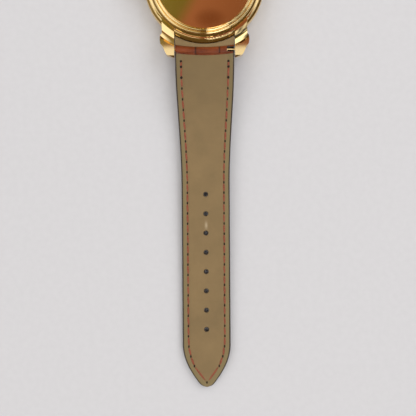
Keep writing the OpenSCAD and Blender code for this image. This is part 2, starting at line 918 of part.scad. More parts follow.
module sliding_pinion() {
    color(steel)
        translate([pinion_x - 0.75, 0, stem_z])
            rotate([0, -90, 0])
                difference() {
                    cylinder(r = 1.05, h = 1.2, $fn = 48);
                    translate([0, 0, -1])
                        cylinder(r = stem_r + running, h = 4, $fn = 48);
                    rotate_extrude($fn = 48)
                        translate([0.9, 0.45])
                            square([1, 0.35]);
                }
}

module winding_pinion() {
    color(steel)
        translate([pinion_x + 0.6, 0, stem_z])
            rotate([0, -90, 0])
                difference() {
                    pinion(14, (pinion_r - 0.03) / 7.7, 1.2);
                    translate([0, 0, -1])
                        cylinder(r = stem_r + running, h = 4, $fn = 48);
                }
}

// The crown wheel: flat teeth for the ratchet wheel and face teeth for the winding pinion
module crown_wheel() {
    color(steel)
        at(crown_wheel_xy)
            difference() {
                union() {
                    translate([0, 0, winding_z])
                        rotate(atan2(barrel_xy[1], barrel_xy[0] - crown_wheel_xy[0]) + 180 / 34)
                            pinion(34, winding_m, winding_t);
                    ring(contrate_r + 0.35, contrate_r - 0.35, bridge_z + 0.3, winding_z - bridge_z);
                    for (i = [0:19])
                        rotate(i * 18 + 9)
                            translate([contrate_r - 0.35, -0.08, bridge_z + 0.02])
                                cube([0.7, 0.16, 0.35]);
                }
                translate([0, 0, winding_z - 1])
                    cylinder(r = 0.7 + running, h = 3, $fn = 48);
            }
}

module ratchet_wheel() {
    color(steel)
        at(barrel_xy, winding_z)
            difference() {
                rotate(atan2(-barrel_xy[1], crown_wheel_xy[0] - barrel_xy[0]))
                    pinion(56, winding_m, winding_t);
                translate([-0.65, -0.65, -1])
                    cube([1.3, 1.3, 3]);
            }
}

// The arbor, with the screw that holds the ratchet wheel on its square
module barrel_arbor() {
    color(steel)
        at(barrel_xy) {
            translate([0, 0, train_z - 0.7])
                cylinder(r = 0.7, h = 2, $fn = 48);
            translate([0, 0, train_z + 0.75])
                cylinder(r = 1.4, h = bridge_z - train_z - 1.05, $fn = 48);
            translate([0, 0, bridge_z - 0.5])
                cylinder(r = 1.0, h = bridge_t + 0.5, $fn = 48);
            translate([-0.64, -0.64, bridge_z])
                cube([1.28, 1.28, bridge_t + 0.05 + winding_t]);
            translate([0, 0, winding_z + winding_t])
                slotted_screw(1.4, 0.25, 0.4, 0.01);
        }
}

// The drum is hollow, with its lid on the dial side
module mainspring_barrel() {
    low = train_z + 0.55;
    high = bridge_z - 0.15;
    color(brass)
        at(barrel_xy)
            difference() {
                union() {
                    translate([0, 0, low])
                        cylinder(r = drum_r, h = high - low);
                    translate([0, 0, low + 0.05])
                        rotate(115 + 180)
                            pinion(72, barrel_m, 0.35);
                }
                translate([0, 0, low + 0.2])
                    cylinder(r = drum_r - 0.35, h = high - low - 0.35);
                translate([0, 0, low - 1])
                    cylinder(r = 0.7 + running, h = 1.21, $fn = 48);
                translate([0, 0, high - 0.5])
                    cylinder(r = 1.0 + running, h = 1, $fn = 48);
            }
}

module mainspring() {
    color("#7d8288")
        at(barrel_xy, train_z + 0.85)
            linear_extrude(height = bridge_z - train_z - 1.25)
                polygon(spiral(1.5, drum_r - 0.5, 9, 0.06, 180));
}

// ---------------------------------------------------------------- going train

module centre_wheel() {
    color(brass)
        union() {
            translate([0, 0, train_z + 0.15])
                wheel(64, centre_m, 0.25, 5, 1.2);
            translate([0, 0, train_z + 0.39])
                rotate(115 + 15)
                    pinion(12, barrel_m, 0.7);
            translate([0, 0, dial_z - 0.6])
                cylinder(r = 0.27, h = train_z - dial_z + 1.2, $fn = 48);
            translate([0, 0, train_z + 0.1])
                cylinder(r = 0.4, h = bridge_z - train_z - 0.2, $fn = 48);
            translate([0, 0, bridge_z - 0.2])
                cylinder(r = pivot_r, h = 0.6, $fn = 32);
        }
}

module third_wheel() {
    color(brass)
        at(third_xy)
            union() {
                translate([0, 0, train_z + 0.75])
                    wheel(60, third_m, 0.25, 4, 0.7);
                translate([0, 0, train_z + 0.1])
                    rotate(atan2(-third_xy[1], -third_xy[0]) + 22.5)
                        pinion(8, centre_m, 0.45);
                arbor(0.28, train_z + 0.05, bridge_z - 0.05);
            }
}

module fourth_wheel() {
    color(brass)
        at(fourth_xy)
            union() {
                translate([0, 0, train_z + 1.3])
                    wheel(70, fourth_m, 0.2, 4, 0.6);
                translate([0, 0, train_z + 0.6])
                    rotate(atan2(third_xy[1] + seconds_offset, third_xy[0]) + 22.5)
                        pinion(8, third_m, 0.5);
                translate([0, 0, dial_z - 0.2])
                    cylinder(r = 0.12, h = train_z - dial_z + 0.5, $fn = 32);
                translate([0, 0, train_z + 0.05])
                    cylinder(r = 0.25, h = bridge_z - train_z - 0.1, $fn = 32);
                translate([0, 0, bridge_z - 0.2])
                    cylinder(r = pivot_r, h = 0.5, $fn = 32);
            }
}

// Fifteen hooked teeth on a light rim
module escape_wheel() {
    r = 2.25;
    color(steel)
        at(escape_xy)
            union() {
                translate([0, 0, train_z + 0.2])
                    linear_extrude(height = 0.2)
                        difference() {
                            polygon([for (i = [0:14], k = [0:3])
                                let (q = [0.74, 0.98, 1.0, 0.74][k] * r, a = 24 * i + [2, 9, 12, 8][k])
                                    [q * cos(a), q * sin(a)]]);
                            difference() {
                                circle(r = r * 0.62);
                                circle(r = 0.6);
                                for (i = [0:3])
                                    rotate(i * 90)
                                        translate([0, -0.12])
                                            square([r * 0.66, 0.24]);
                            }
                        }
                translate([0, 0, train_z + 1.15])
                    rotate(-20 + 180 + 180 / 7)
                        pinion(7, fourth_m, 0.45);
                arbor(0.22, train_z + 0.05, bridge_z - 0.05);
            }
}

// The lever reaches from the pallets to the balance staff
module pallet_fork() {
    reach = norm(fork_line) - fork_distance;
    color(steel)
        at(pallet_xy, train_z)
            rotate(fork_angle)
                union() {
                    translate([0, 0, 0.2])
                        linear_extrude(height = 0.22)
                            union() {
                                polygon([
                                    [-0.3, -1.45], [-0.75, -1.6], [-0.55, -0.6], [-0.3, 0], [-0.55, 0.6],
                                    [-0.75, 1.6], [-0.3, 1.45], [0.25, 0.35], [reach - 1.25, 0.14],
                                    [reach - 0.85, 0.42], [reach - 0.62, 0.4], [reach - 0.95, 0],
                                    [reach - 0.62, -0.4], [reach - 0.85, -0.42], [reach - 1.25, -0.14],
                                    [0.25, -0.35]
                                ]);
                                circle(r = 0.4, $fn = 48);
                            }
                    translate([0, 0, 0.05])
                        cylinder(r = 0.18, h = 0.5, $fn = 32);
                    translate([0, 0, -0.25])
                        cylinder(r = pivot_r, h = 1.1, $fn = 32);
                }
}

module balance_wheel() {
    color(brass)
        at(balance_xy)
            union() {
                translate([0, 0, train_z + 1.15])
                    linear_extrude(height = 0.35)
                        difference() {
                            circle(r = balance_r);
                            difference() {
                                circle(r = balance_r - 0.55);
                                for (i = [0:2])
                                    rotate(i * 120)
                                        translate([0, -0.25])
                                            square([balance_r, 0.5]);
                                circle(r = 0.7);
                            }
                        }
                translate([0, 0, train_z + 0.5])
                    cylinder(r = 0.6, h = 0.2, $fn = 48);
                arbor(0.22, train_z + 0.05, bridge_z - 0.05);
            }
}

module hairspring() {
    color("#3a5c9a")
        at(balance_xy, train_z + 1.62)
            union() {
                linear_extrude(height = 0.14)
                    polygon(spiral(0.5, 2.5, 9, 0.035, 200));
                ring(0.5, 0.22, 0, 0.14);
            }
}

// ---------------------------------------------------------------- strap

// Everything of a strap half is built along +Y; the long half is turned over to -Y.
module long_side() {
    mirror([0, 1, 0])
        children();
}

// A ring segment that follows the curved spring bar
module bowed(half_width) {
    a = asin(half_width / bar_bow_r);
    translate([0, bow_centre_y, bar_z])
        rotate_extrude(angle = 2 * a, start = 90 - a, $fn = 180)
            translate([bar_bow_r, 0])
                children();
}

module spring_bar() {
    tube_end = lug_gap / 2 - bar_tip_l;
    color(gold)
        union() {
            bowed(tube_end)
                circle(r = bar_r, $fn = 48);
            for (s = [-1, 1])
                translate([s * (tube_end - 0.4), bar_y, bar_z])
                    rotate([0, s * 90, 0])
                        cylinder(r = bar_tip_r, h = bar_tip_l + 1.4, $fn = 48);
        }
}

module long_outline(from, to, inset) {
    steps = 26;
    end = min(to, long_l - inset * 0.75);
    straight = [for (i = [0:steps]) let (u = from + (min(end, long_l - tip_l) - from) * i / steps)
        [long_half(u, inset), bar_y + u]];
    start = long_l - tip_l;
    point = end <= start ? [] : [for (i = [1:14])
        let (u = start + (end - start) * sin(90 * i / 14)) [long_half(u, inset), bar_y + u]];
    half = concat(straight, point);
    polygon(concat(half, [for (i = [len(half) - 1:-1:0]) [-half[i][0], half[i][1]]]));
}

module short_outline(from, to, inset) {
    steps = 20;
    half = [for (i = [0:steps]) let (u = from + (to - from) * i / steps)
        [short_half(u, inset), bar_y + u]];
    polygon(concat(half, [for (i = [steps:-1:0]) [-half[i][0], half[i][1]]]));
}

// A side view between two heights, as wide as the strap
module long_slab(from, to, low, high) {
    places = between(long_stations, from, to);
    rotate([90, 0, 90])
        linear_extrude(height = strap_w + 6, center = true)
            polygon(concat(
                [for (u = places) [bar_y + u, long_low(u) + low]],
                [for (i = [len(places) - 1:-1:0]) let (u = places[i])
                    [bar_y + u, long_low(u) + long_thick(u) - high]]));
}

module short_slab(from, to, low, high) {
    places = between(short_stations, from, to);
    rotate([90, 0, 90])
        linear_extrude(height = strap_w + 6, center = true)
            polygon(concat(
                [for (u = places) [bar_y + u, short_low(u) + low]],
                [for (i = [len(places) - 1:-1:0]) let (u = places[i])
                    [bar_y + u, short_low(u) + short_thick(u) - high]]));
}

// Opening in the end of a loop, on the wrist side, that shows the bar's tip
module bar_notch() {
    translate([strap_w / 2 - notch_l, bar_y + 0.1 - notch_w / 2, bar_z])
        cube([notch_l + 1, notch_w, loop_r + 1]);
}

module strap_holes() {
    for (i = [0:holes - 1])
        translate([0, bar_y + first_hole - i * hole_pitch, -1])
            cylinder(r = hole_d / 2, h = 8, $fn = 48);
}

module long_filler_solid(grow) {
    intersection() {
        translate([0, 0, -1])
            linear_extrude(height = 12)
                long_outline(filler_from - grow, long_l - tip_l - 2 + grow, filler_inset - grow);
        long_slab(filler_from - grow, long_l - tip_l - 2 + grow, front_t - grow, lining_t - grow);
    }
}

module short_filler_solid(grow) {
    intersection() {
        translate([0, 0, -1])
            linear_extrude(height = 14)
                short_outline(filler_from - grow, short_l - 20 + grow, filler_inset - grow);
        short_slab(filler_from - grow, short_l - 20 + grow, front_t - grow, lining_t - grow);
    }
}

module long_front() {
    color(alligator)
        long_side()
            difference() {
                union() {
                    intersection() {
                        translate([0, 0, -1])
                            linear_extrude(height = 12)
                                long_outline(0.8, long_l, 0);
                        long_slab(0.8, long_l, 0, lining_t);
                    }
                    bowed(strap_w / 2)
                        circle(r = loop_r, $fn = 64);
                }
                bowed(strap_w / 2 + 0.2)
                    circle(r = bar_r + 0.02, $fn = 64);
                bar_notch();
                long_filler_solid(0);
                strap_holes();
            }
}

module long_filler() {
    color("#c9b48c")
        long_side()
            difference() {
                long_filler_solid(0);
                strap_holes();
            }
}

module long_lining() {
    color(khaki)
        long_side()
            difference() {
                intersection() {
                    translate([0, 0, -1])
                        linear_extrude(height = 12)
                            long_outline(lining_from, long_l, 0);
                    difference() {
                        long_slab(lining_from - 0.2, long_l, 0, 0);
                        long_slab(lining_from - 0.4, long_l + 1, -1, lining_t);
                    }
                }
                strap_holes();
            }
}

// The leather tab that fills the gap between the loop and the round case
module curved_end() {
    color(khaki)
        difference() {
            translate([-strap_w / 2, case_r - 4, bar_z - 0.55])
                cube([strap_w, bar_y - case_r + 4 + bar_sagitta, 1.2]);
            translate([0, 0, bar_z - 2])
                cylinder(r = case_r + 0.3, h = 4, $fn = 180);
            bowed(strap_w / 2 + 0.2)
                circle(r = loop_r, $fn = 64);
            translate([-20, bar_y - 0.1, bar_z - 2])
                cube([40, 5, 4]);
        }
}

// One stitch, laid along the seam and sunk a little into the leather
module stitch(x, y, z, turn, slope) {
    translate([x, y, z])
        rotate([slope, 0, turn])
            cube([0.5, stitch_pitch * 0.72, 0.32], center = true);
}

module long_thread() {
    color(thread_brown)
        long_side()
            for (side = [-1, 1], i = [0:long_stitches + tip_stitches - 1]) {
                step = min(i, long_stitches - 1);
                over = (i - step) / tip_stitches;
                reach = long_l - seam_inset * 0.75 - long_seam_end - 0.5;
                u = seam_from + stitch_pitch * (step + 0.5) + (over > 0 ? reach * sin(82 * over) : 0);
                half = long_half(u, seam_inset);
                turn = atan2(long_half(u + 0.3, seam_inset) - long_half(u - 0.3, seam_inset), 0.6);
                top = long_low(u) + long_thick(u);
                slope = atan2(long_low(u + 0.3) + long_thick(u + 0.3) - top, 0.3);
                under = atan2(long_low(u + 0.3) - long_low(u), 0.3);
                if (i < long_stitches + tip_stitches - 1) {
                    stitch(side * half, bar_y + u, top, -side * turn, slope);
                    stitch(side * half, bar_y + u, long_low(u) + 0.16, -side * turn, under);
                }
            }
}

module short_front() {
    color(alligator)
        difference() {
            union() {
                intersection() {
                    translate([0, 0, -1])
                        linear_extrude(height = 14)
                            short_outline(0.8, short_l, 0);
                    short_slab(0.8, short_l, 0, lining_t);
                }
                bowed(strap_w / 2)
                    circle(r = loop_r, $fn = 64);
                translate([0, buckle_y, buckle_z])
                    rotate([0, 90, 0])
                        cylinder(r = buckle_bar_r + 0.75, h = strap_end_w, center = true, $fn = 64);
            }
            bowed(strap_w / 2 + 0.2)
                circle(r = bar_r + 0.02, $fn = 64);
            bar_notch();
            short_filler_solid(0);
            buckle_slot();
            translate([0, buckle_y, buckle_z])
                rotate([0, 90, 0])
                    cylinder(r = buckle_bar_r + running, h = strap_w, center = true, $fn = 64);
        }
}

// Slot in the strap's end for the tongue, and room for the loop round the buckle's bar
module buckle_slot() {
    slot = tongue_w / 2 + 0.4;
    translate([-slot, buckle_y - 5, -1])
        cube([2 * slot, 10, 14]);
    translate([0, buckle_y - 5, -1])
        cylinder(r = slot, h = 14, $fn = 48);
}

module short_filler() {
    color("#c9b48c")
        short_filler_solid(0);
}

module short_lining() {
    color(khaki)
        difference() {
            intersection() {
                translate([0, 0, -1])
                    linear_extrude(height = 14)
                        short_outline(lining_from, short_l - 1.6, 0);
                difference() {
                    short_slab(lining_from - 0.2, short_l, 0, 0);
                    short_slab(lining_from - 0.4, short_l + 1, -1, lining_t);
                }
            }
            buckle_slot();
        }
}

module short_thread() {
    color(thread_brown)
        for (side = [-1, 1], i = [0:short_stitches - 1]) {
            u = seam_from + stitch_pitch * (i + 0.5);
            turn = atan2(short_half(u + 0.3) - short_half(u - 0.3), 0.6);
            top = short_low(u) + short_thick(u);
            slope = atan2(short_low(u + 0.3) + short_thick(u + 0.3) - top, 0.3);
            under = atan2(short_low(u + 0.3) - short_low(u), 0.3);
            stitch(side * short_half(u, seam_inset), bar_y + u, top, -side * turn, slope);
            stitch(side * short_half(u, seam_inset), bar_y + u, short_low(u) + 0.16,
                -side * turn, under);
        }
}

// A keeper is a flat leather loop; the strap's tail goes through it below the short half
module keeper(u, width, side_gap, top_gap) {
    half = strap_end_w / 2 + side_gap;
    top = buckle_z + thin_t / 2 + top_gap;
    translate([0, bar_y + u + width / 2, 0])
        rotate([90, 0, 0])
            linear_extrude(height = width)
                difference() {
                    union() {
                        translate([-half, 0])
                            square([2 * half, top + keeper_t]);
                        translate([-half - keeper_t, keeper_t])
                            square([2 * (half + keeper_t), top - keeper_t]);
                        for (s = [-1, 1], z = [keeper_t, top])
                            translate([s * half, z])
                                circle(r = keeper_t, $fn = 48);
                    }
                    translate([-half, keeper_t])
                        square([2 * half, top - keeper_t]);
                }
}

module fixed_keeper() {
    color(alligator)
        keeper(fixed_keeper_u, keeper_w - 0.5, 0, 0);
}

module sliding_keeper() {
    color(alligator)
        keeper(sliding_keeper_u, keeper_w, 0.3, 0.3);
}

// ---------------------------------------------------------------- buckle

module at_buckle() {
    translate([0, buckle_y, buckle_z])
        rotate([-buckle_tilt, 0, 0])
            children();
}

module rounded(x, y0, y1, r) {
    translate([-x, y0 + r])
        square([2 * x, y1 - y0 - 2 * r]);
    translate([-x + r, y0])
        square([2 * (x - r), y1 - y0]);
    for (s = [-1, 1], y = [y0 + r, y1 - r])
        translate([s * (x - r), y])
            circle(r = r, $fn = 48);
}

module buckle_frame() {
    color(gold)
        at_buckle()
            difference() {
                translate([0, 0, -buckle_t / 2])
                    linear_extrude(height = buckle_t)
                        difference() {
                            rounded(buckle_half + buckle_rim, -1.3, buckle_l, 1.3);
                            translate([-buckle_half, -3])
                                square([2 * buckle_half, 3 + buckle_l - buckle_rim - 0.4]);
                            rounded(buckle_half, -2, buckle_l - buckle_rim, 1.0);
                        }
                rotate([0, 90, 0])
                    cylinder(r = buckle_bar_r, h = 2 * (buckle_half + ear_w), center = true, $fn = 48);
            }
}

module buckle_bar() {
    color(gold)
        at_buckle()
            rotate([0, 90, 0])
                cylinder(r = buckle_bar_r, h = 2 * (buckle_half + ear_w), center = true, $fn = 48);
}

module buckle_tongue() {
    low = -tongue_drop - tongue_t;
    color(gold)
        at_buckle()
            difference() {
                union() {
                    rotate([0, 90, 0])
                        cylinder(r = buckle_bar_r + 0.7, h = tongue_w, center = true, $fn = 48);
                    rotate([90, 0, 90])
                        linear_extrude(height = tongue_w, center = true)
                            polygon([
                                [0.2, -buckle_bar_r - 0.7], [0.2, -0.2], [buckle_bar_r + 0.4, -0.4],
                                [buckle_l - buckle_rim - 0.3, -tongue_drop], [buckle_l - 0.2, -tongue_drop],
                                [buckle_l, low + 0.25], [buckle_l, low], [buckle_l - buckle_rim, low]
                            ]);
                }
                rotate([0, 90, 0])
                    cylinder(r = buckle_bar_r + running, h = 10, center = true, $fn = 48);
            }
}

module long_spring_bar() {
    long_side()
        spring_bar();
}

module short_spring_bar() {
    spring_bar();
}

module long_curved_end() {
    long_side()
        curved_end();
}

module short_curved_end() {
    curved_end();
}

mid_case();
bezel();
crystal();
crystal_gasket();
case_back();
case_back_gasket();
crown_tube();
dial();
hour_markers();
dial_flange();
movement_ring();
casing_screws();
main_plate();
barrel_bridge();
train_bridge();
balance_cock();
pallet_bridge();
bridge_screws();
jewels();
click();
crown();
crown_gasket();
winding_stem();
sliding_pinion();
winding_pinion();
crown_wheel();
ratchet_wheel();
barrel_arbor();
mainspring_barrel();
mainspring();
centre_wheel();
third_wheel();
fourth_wheel();
escape_wheel();
pallet_fork();
balance_wheel();
hairspring();
cannon_pinion();
minute_wheel();
hour_wheel();
hour_hand();
minute_hand();
seconds_hand();
long_spring_bar();
long_front();
long_filler();
long_lining();
long_curved_end();
long_thread();
short_spring_bar();
short_front();
short_filler();
short_lining();
short_curved_end();
short_thread();
fixed_keeper();
sliding_keeper();
buckle_bar();
buckle_frame();
buckle_tongue();
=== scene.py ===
import json
import math

import bpy
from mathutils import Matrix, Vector


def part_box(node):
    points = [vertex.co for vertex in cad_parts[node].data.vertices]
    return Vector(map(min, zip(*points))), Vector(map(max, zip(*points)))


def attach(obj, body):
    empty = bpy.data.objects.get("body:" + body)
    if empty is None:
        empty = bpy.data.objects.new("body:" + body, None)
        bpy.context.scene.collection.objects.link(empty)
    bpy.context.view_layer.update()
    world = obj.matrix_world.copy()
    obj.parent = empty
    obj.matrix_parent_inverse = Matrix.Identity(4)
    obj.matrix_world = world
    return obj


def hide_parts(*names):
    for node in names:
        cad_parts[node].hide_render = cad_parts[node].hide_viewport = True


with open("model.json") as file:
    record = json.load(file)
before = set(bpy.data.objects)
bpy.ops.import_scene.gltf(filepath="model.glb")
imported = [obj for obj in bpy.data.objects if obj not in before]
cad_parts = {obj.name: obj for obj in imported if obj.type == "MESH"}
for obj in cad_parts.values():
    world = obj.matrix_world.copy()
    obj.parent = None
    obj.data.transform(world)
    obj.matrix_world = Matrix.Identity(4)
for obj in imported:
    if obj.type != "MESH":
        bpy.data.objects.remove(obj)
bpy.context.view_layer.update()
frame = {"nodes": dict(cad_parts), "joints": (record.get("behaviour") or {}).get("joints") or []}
bpy.ops.object.select_all(action="DESELECT")
MM = 0.001


# ---------------------------------------------------------------- gold case
# The middle case, bezel, snap back, crown and buckle are brass, turned or milled, polished on a
# wheel and plated with yellow gold. The polish leaves faint fine scratches and a mirror face.
def linear(hex_colour):
    channels = [int(hex_colour[i : i + 2], 16) / 255 for i in (1, 3, 5)]
    curve = [c / 12.92 if c <= 0.04045 else ((c + 0.055) / 1.055) ** 2.4 for c in channels]
    return (*curve, 1.0)


def add(material, kind, inputs=None, **settings):
    """Adds one node; an input is a value, or a (node, output name) pair to link from."""
    tree = material.node_tree
    node = tree.nodes.new(kind)
    for name, value in settings.items():
        setattr(node, name, value)
    for name, value in (inputs or {}).items():
        if isinstance(value, tuple) and isinstance(value[0], bpy.types.Node):
            tree.links.new(value[0].outputs[value[1]], node.inputs[name])
        else:
            node.inputs[name].default_value = value
    return node


def new_material(name):
    material = bpy.data.materials.new(name)
    material.use_nodes = True
    return material, material.node_tree.nodes["Principled BSDF"]


def join(material, node, output, target, socket):
    material.node_tree.links.new(node.outputs[output], target.inputs[socket])


def two_tones(material, factor, low_at, low, high_at, high):
    """A ramp between two colours."""
    tone = add(material, "ShaderNodeValToRGB", {"Fac": factor})
    for element, at, colour in zip(tone.color_ramp.elements, (low_at, high_at), (low, high)):
        element.position = at
        element.color = linear(colour)
    return tone


def surface(material, shader, gloss_by, rough_low, rough_high, height, strength, depth_mm):
    """Lets the gloss vary, and gives the surface its fine relief."""
    gloss = add(
        material,
        "ShaderNodeMapRange",
        {"Value": gloss_by, "To Min": rough_low, "To Max": rough_high},
    )
    bump = add(
        material,
        "ShaderNodeBump",
        {"Height": height, "Strength": strength, "Distance": depth_mm * MM},
    )
    join(material, gloss, "Result", shader, "Roughness")
    join(material, bump, "Normal", shader, "Normal")


def polished_metal(name, colour, rough_low, rough_high, scratch_mm=1.5, scratch_depth=0.004):
    material, shader = new_material(name)
    shader.inputs["Metallic"].default_value = 1.0
    shader.inputs["Base Color"].default_value = linear(colour)
    place = add(material, "ShaderNodeTexCoord")
    patches = add(
        material,
        "ShaderNodeTexNoise",
        {"Vector": (place, "Object"), "Scale": 1 / (6 * MM), "Detail": 3.0},
    )
    scratches = add(
        material,
        "ShaderNodeTexNoise",
        {"Vector": (place, "Object"), "Scale": 1 / (scratch_mm * MM), "Detail": 5.0},
    )
    surface(
        material, shader, (patches, "Fac"), rough_low, rough_high, (scratches, "Fac"), 0.25, scratch_depth
    )
    return material


def dress(material, *nodes):
    for node in nodes:
        data = frame["nodes"][node].data
        data.materials.clear()
        data.materials.append(material)


gold_plate = polished_metal("gold_plate_on_brass", "#ebce94", 0.015, 0.05, scratch_depth=0.0006)
dress(gold_plate, "mid_case", "bezel", "case_back", "crown_tube", "crown")
dress(gold_plate, "buckle_frame", "buckle_tongue", "long_spring_bar", "short_spring_bar", "buckle_bar")


# ---------------------------------------------------------------- dial side
# A flat mineral crystal in a black gasket covers a lacquered dial. The markers and hands are
# faceted gold, and a ring of minute ticks is printed on the dial's edge.
def plain(name, colour, shade, rough=0.5, grain_mm=0.5, depth_mm=0.01, coat=0.0):
    """A dielectric with two close tones, a grain of real size and a gloss that varies with it."""
    material, shader = new_material(name)
    shader.inputs["Coat Weight"].default_value = coat
    place = add(material, "ShaderNodeTexCoord")
    grain = add(
        material,
        "ShaderNodeTexNoise",
        {"Vector": (place, "Object"), "Scale": 1 / (grain_mm * MM), "Detail": 4.0},
    )
    tone = two_tones(material, (grain, "Fac"), 0.35, colour, 0.65, shade)
    join(material, tone, "Color", shader, "Base Color")
    rough_high = min(1, rough * 1.15)
    surface(material, shader, (grain, "Fac"), rough * 0.85, rough_high, (grain, "Fac"), 0.6, depth_mm)
    return material


crystal_glass, crystal_shader = new_material("mineral_glass")
crystal_shader.inputs["Base Color"].default_value = linear("#f4f8fa")
crystal_shader.inputs["Transmission Weight"].default_value = 1.0
crystal_shader.inputs["Roughness"].default_value = 0.02
crystal_shader.inputs["IOR"].default_value = 1.52
dress(crystal_glass, "crystal")
rubber = plain("nitrile_rubber", "#141414", "#1b1b1b", rough=0.7)
dress(rubber, "crystal_gasket", "case_back_gasket", "crown_gasket")
LACQUER_GRAIN, LACQUER_DEPTH = 0.08, 0.004
dress(plain("dial_lacquer", "#f1eee4", "#efecdf", 0.3, LACQUER_GRAIN, LACQUER_DEPTH, coat=0.4), "dial")
dress(plain("flange_lacquer", "#e6e2d6", "#e2ddcf", 0.35, LACQUER_GRAIN, LACQUER_DEPTH), "dial_flange")
polished_gold = polished_metal("polished_gold", "#e8cb88", 0.05, 0.1)
dress(polished_gold, "hour_markers", "hour_hand", "minute_hand", "seconds_hand")


def take(*pieces):
    """Selects these pieces alone; the first is the active one."""
    bpy.ops.object.select_all(action="DESELECT")
    for piece in pieces:
        piece.select_set(True)
    bpy.context.view_layer.objects.active = pieces[0]


def tidy_mesh(obj, angle):
    take(obj)
    bpy.ops.object.mode_set(mode="EDIT")
    bpy.ops.mesh.select_all(action="SELECT")
    bpy.ops.mesh.remove_doubles(threshold=1e-7)
    bpy.ops.mesh.fill_holes(sides=0)
    bpy.ops.mesh.select_all(action="SELECT")
    bpy.ops.mesh.normals_make_consistent(inside=False)
    bpy.ops.object.mode_set(mode="OBJECT")
    bpy.ops.object.shade_smooth_by_angle(angle=math.radians(angle))
    bpy.ops.object.select_all(action="DESELECT")


def settle(obj, name, material):
    """Puts a finished piece's place into its mesh, and names it."""
    take(obj)
    bpy.ops.object.transform_apply(location=True, rotation=True, scale=True)
    obj.name = name
    obj.data.name = name
    obj.data.materials.clear()
    for one in material if isinstance(material, list) else [material]:
        obj.data.materials.append(one)
    obj.select_set(False)
    return obj


def join_pieces(parts, name, material):
    take(*parts)
    bpy.ops.object.transform_apply(location=True, rotation=True, scale=True)
    bpy.ops.object.join()
    return settle(bpy.context.object, name, material)


dial_low, dial_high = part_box("dial")
TRACK_R = dial_high[0] - 0.95 * MM
printed_ink = plain("printed_ink", "#2a2620", "#322d26", rough=0.45, grain_mm=0.1, depth_mm=0.002)
ticks = []
for minute in range(60):
    long_tick = minute % 5 == 0
    length = (0.9 if long_tick else 0.55) * MM
    turn = math.radians(6 * minute)
    bpy.ops.mesh.primitive_cube_add(
        size=1,
        location=(TRACK_R * math.cos(turn), TRACK_R * math.sin(turn), dial_low[2] - 0.012 * MM),
        rotation=(0, 0, turn),
        scale=(length, (0.16 if long_tick else 0.09) * MM, 0.02 * MM),
    )
    ticks.append(bpy.context.object)
minute_track = join_pieces(ticks, "minute_track", printed_ink)
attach(minute_track, "case")

# ---------------------------------------------------------------- movement
# The plate and wheels are gilt brass, the bridges are nickel-plated with a fine grain, and the
# screws, arbors and winding wheels are polished steel. The jewels are synthetic ruby.
gilt_brass = polished_metal("gilt_brass", "#cfa961", 0.2, 0.32, scratch_mm=0.4, scratch_depth=0.01)
nickel_plate = polished_metal("nickel_plate", "#c9c8c4", 0.18, 0.3, scratch_mm=0.3, scratch_depth=0.01)
polished_steel = polished_metal("polished_steel", "#bfc3c8", 0.08, 0.16)
blued_steel = polished_metal("blued_spring_steel", "#34507f", 0.15, 0.25)
dress(gilt_brass, "main_plate", "mainspring_barrel", "centre_wheel", "third_wheel", "fourth_wheel")
dress(gilt_brass, "balance_wheel", "minute_wheel", "hour_wheel")
dress(nickel_plate, "movement_ring", "barrel_bridge", "train_bridge", "balance_cock", "pallet_bridge")
dress(polished_steel, "casing_screws", "bridge_screws", "click", "winding_stem", "sliding_pinion")
dress(polished_steel, "winding_pinion", "crown_wheel", "ratchet_wheel", "barrel_arbor")
dress(polished_steel, "escape_wheel", "pallet_fork", "cannon_pinion")
dress(blued_steel, "hairspring", "mainspring")
ruby, ruby_shader = new_material("synthetic_ruby")
ruby_shader.inputs["Base Color"].default_value = linear("#a3152f")
ruby_shader.inputs["Roughness"].default_value = 0.08
ruby_shader.inputs["IOR"].default_value = 1.76
dress(ruby, "jewels")

# ---------------------------------------------------------------- strap, shapes
# Each half is a leather sandwich: scale-embossed front leather turned round a filler, and a thin
# lining glued and sewn on the wrist side. It is padded near the lugs and thin at its far end.
joints = {joint["name"]: joint for joint in frame["joints"]}
bar = joints["long_strap_hinge"]["pos_m"]
BAR_Y = -bar[1] / MM
BAR_Z = bar[2] / MM
LONG_L = -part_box("long_front")[0][1] / MM - BAR_Y
SHORT_L = joints["buckle_hinge"]["pos_m"][1] / MM - BAR_Y
STRAP_W = (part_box("long_curved_end")[1][0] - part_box("long_curved_end")[0][0]) / MM
END_W = 16.1
TIP_L = 14.5
LOOP_R = 1.55
PADDED_T = 4.1
THIN_T = 2.3
LINING_T = 0.7
SEAM_INSET = 1.9
BOW_SAG = 0.75
BOW_R = ((STRAP_W / 2) ** 2 + BOW_SAG**2) / (2 * BOW_SAG)
BUCKLE_Z = joints["buckle_hinge"]["pos_m"][2] / MM
TIP_FULLNESS = 0.82
TIP_BLUNT = 1.8
TIP_BLUNT_L = 1.2
INSET_AT_TIP = 0.75


def smooth(x):
    t = max(0.0, min(1.0, x))
    return t * t * (3 - 2 * t)


def taper(u, full_at):
    """Half the width at u mm from the bar; it reaches the narrow end's width at full_at."""
    return END_W / 2 + (STRAP_W - END_W) / 2 * (1 - smooth((u - 3) / (full_at - 3)))


def long_half(u, inset=0.0):
    end = LONG_L - inset * INSET_AT_TIP
    width = taper(u, 45) - inset
    t = (u - (end - TIP_L)) / TIP_L
    if t <= 0:
        return width
    rest = max(0.0, end - u)
    blunt = TIP_BLUNT * max(0.0, 1 - inset / SEAM_INSET) * math.exp(-rest / TIP_BLUNT_L) * math.sqrt(rest)
    return width * max(0.0, 1 - t * t) ** TIP_FULLNESS + blunt


def short_half(u, inset=0.0):
    return taper(u, 42) - inset


def thickness(u, thin_from, thin_over):
    padded = 2 * LOOP_R + (PADDED_T - 2 * LOOP_R) * smooth(u / 9)
    return padded - (PADDED_T - THIN_T) * smooth((u - thin_from) / thin_over)


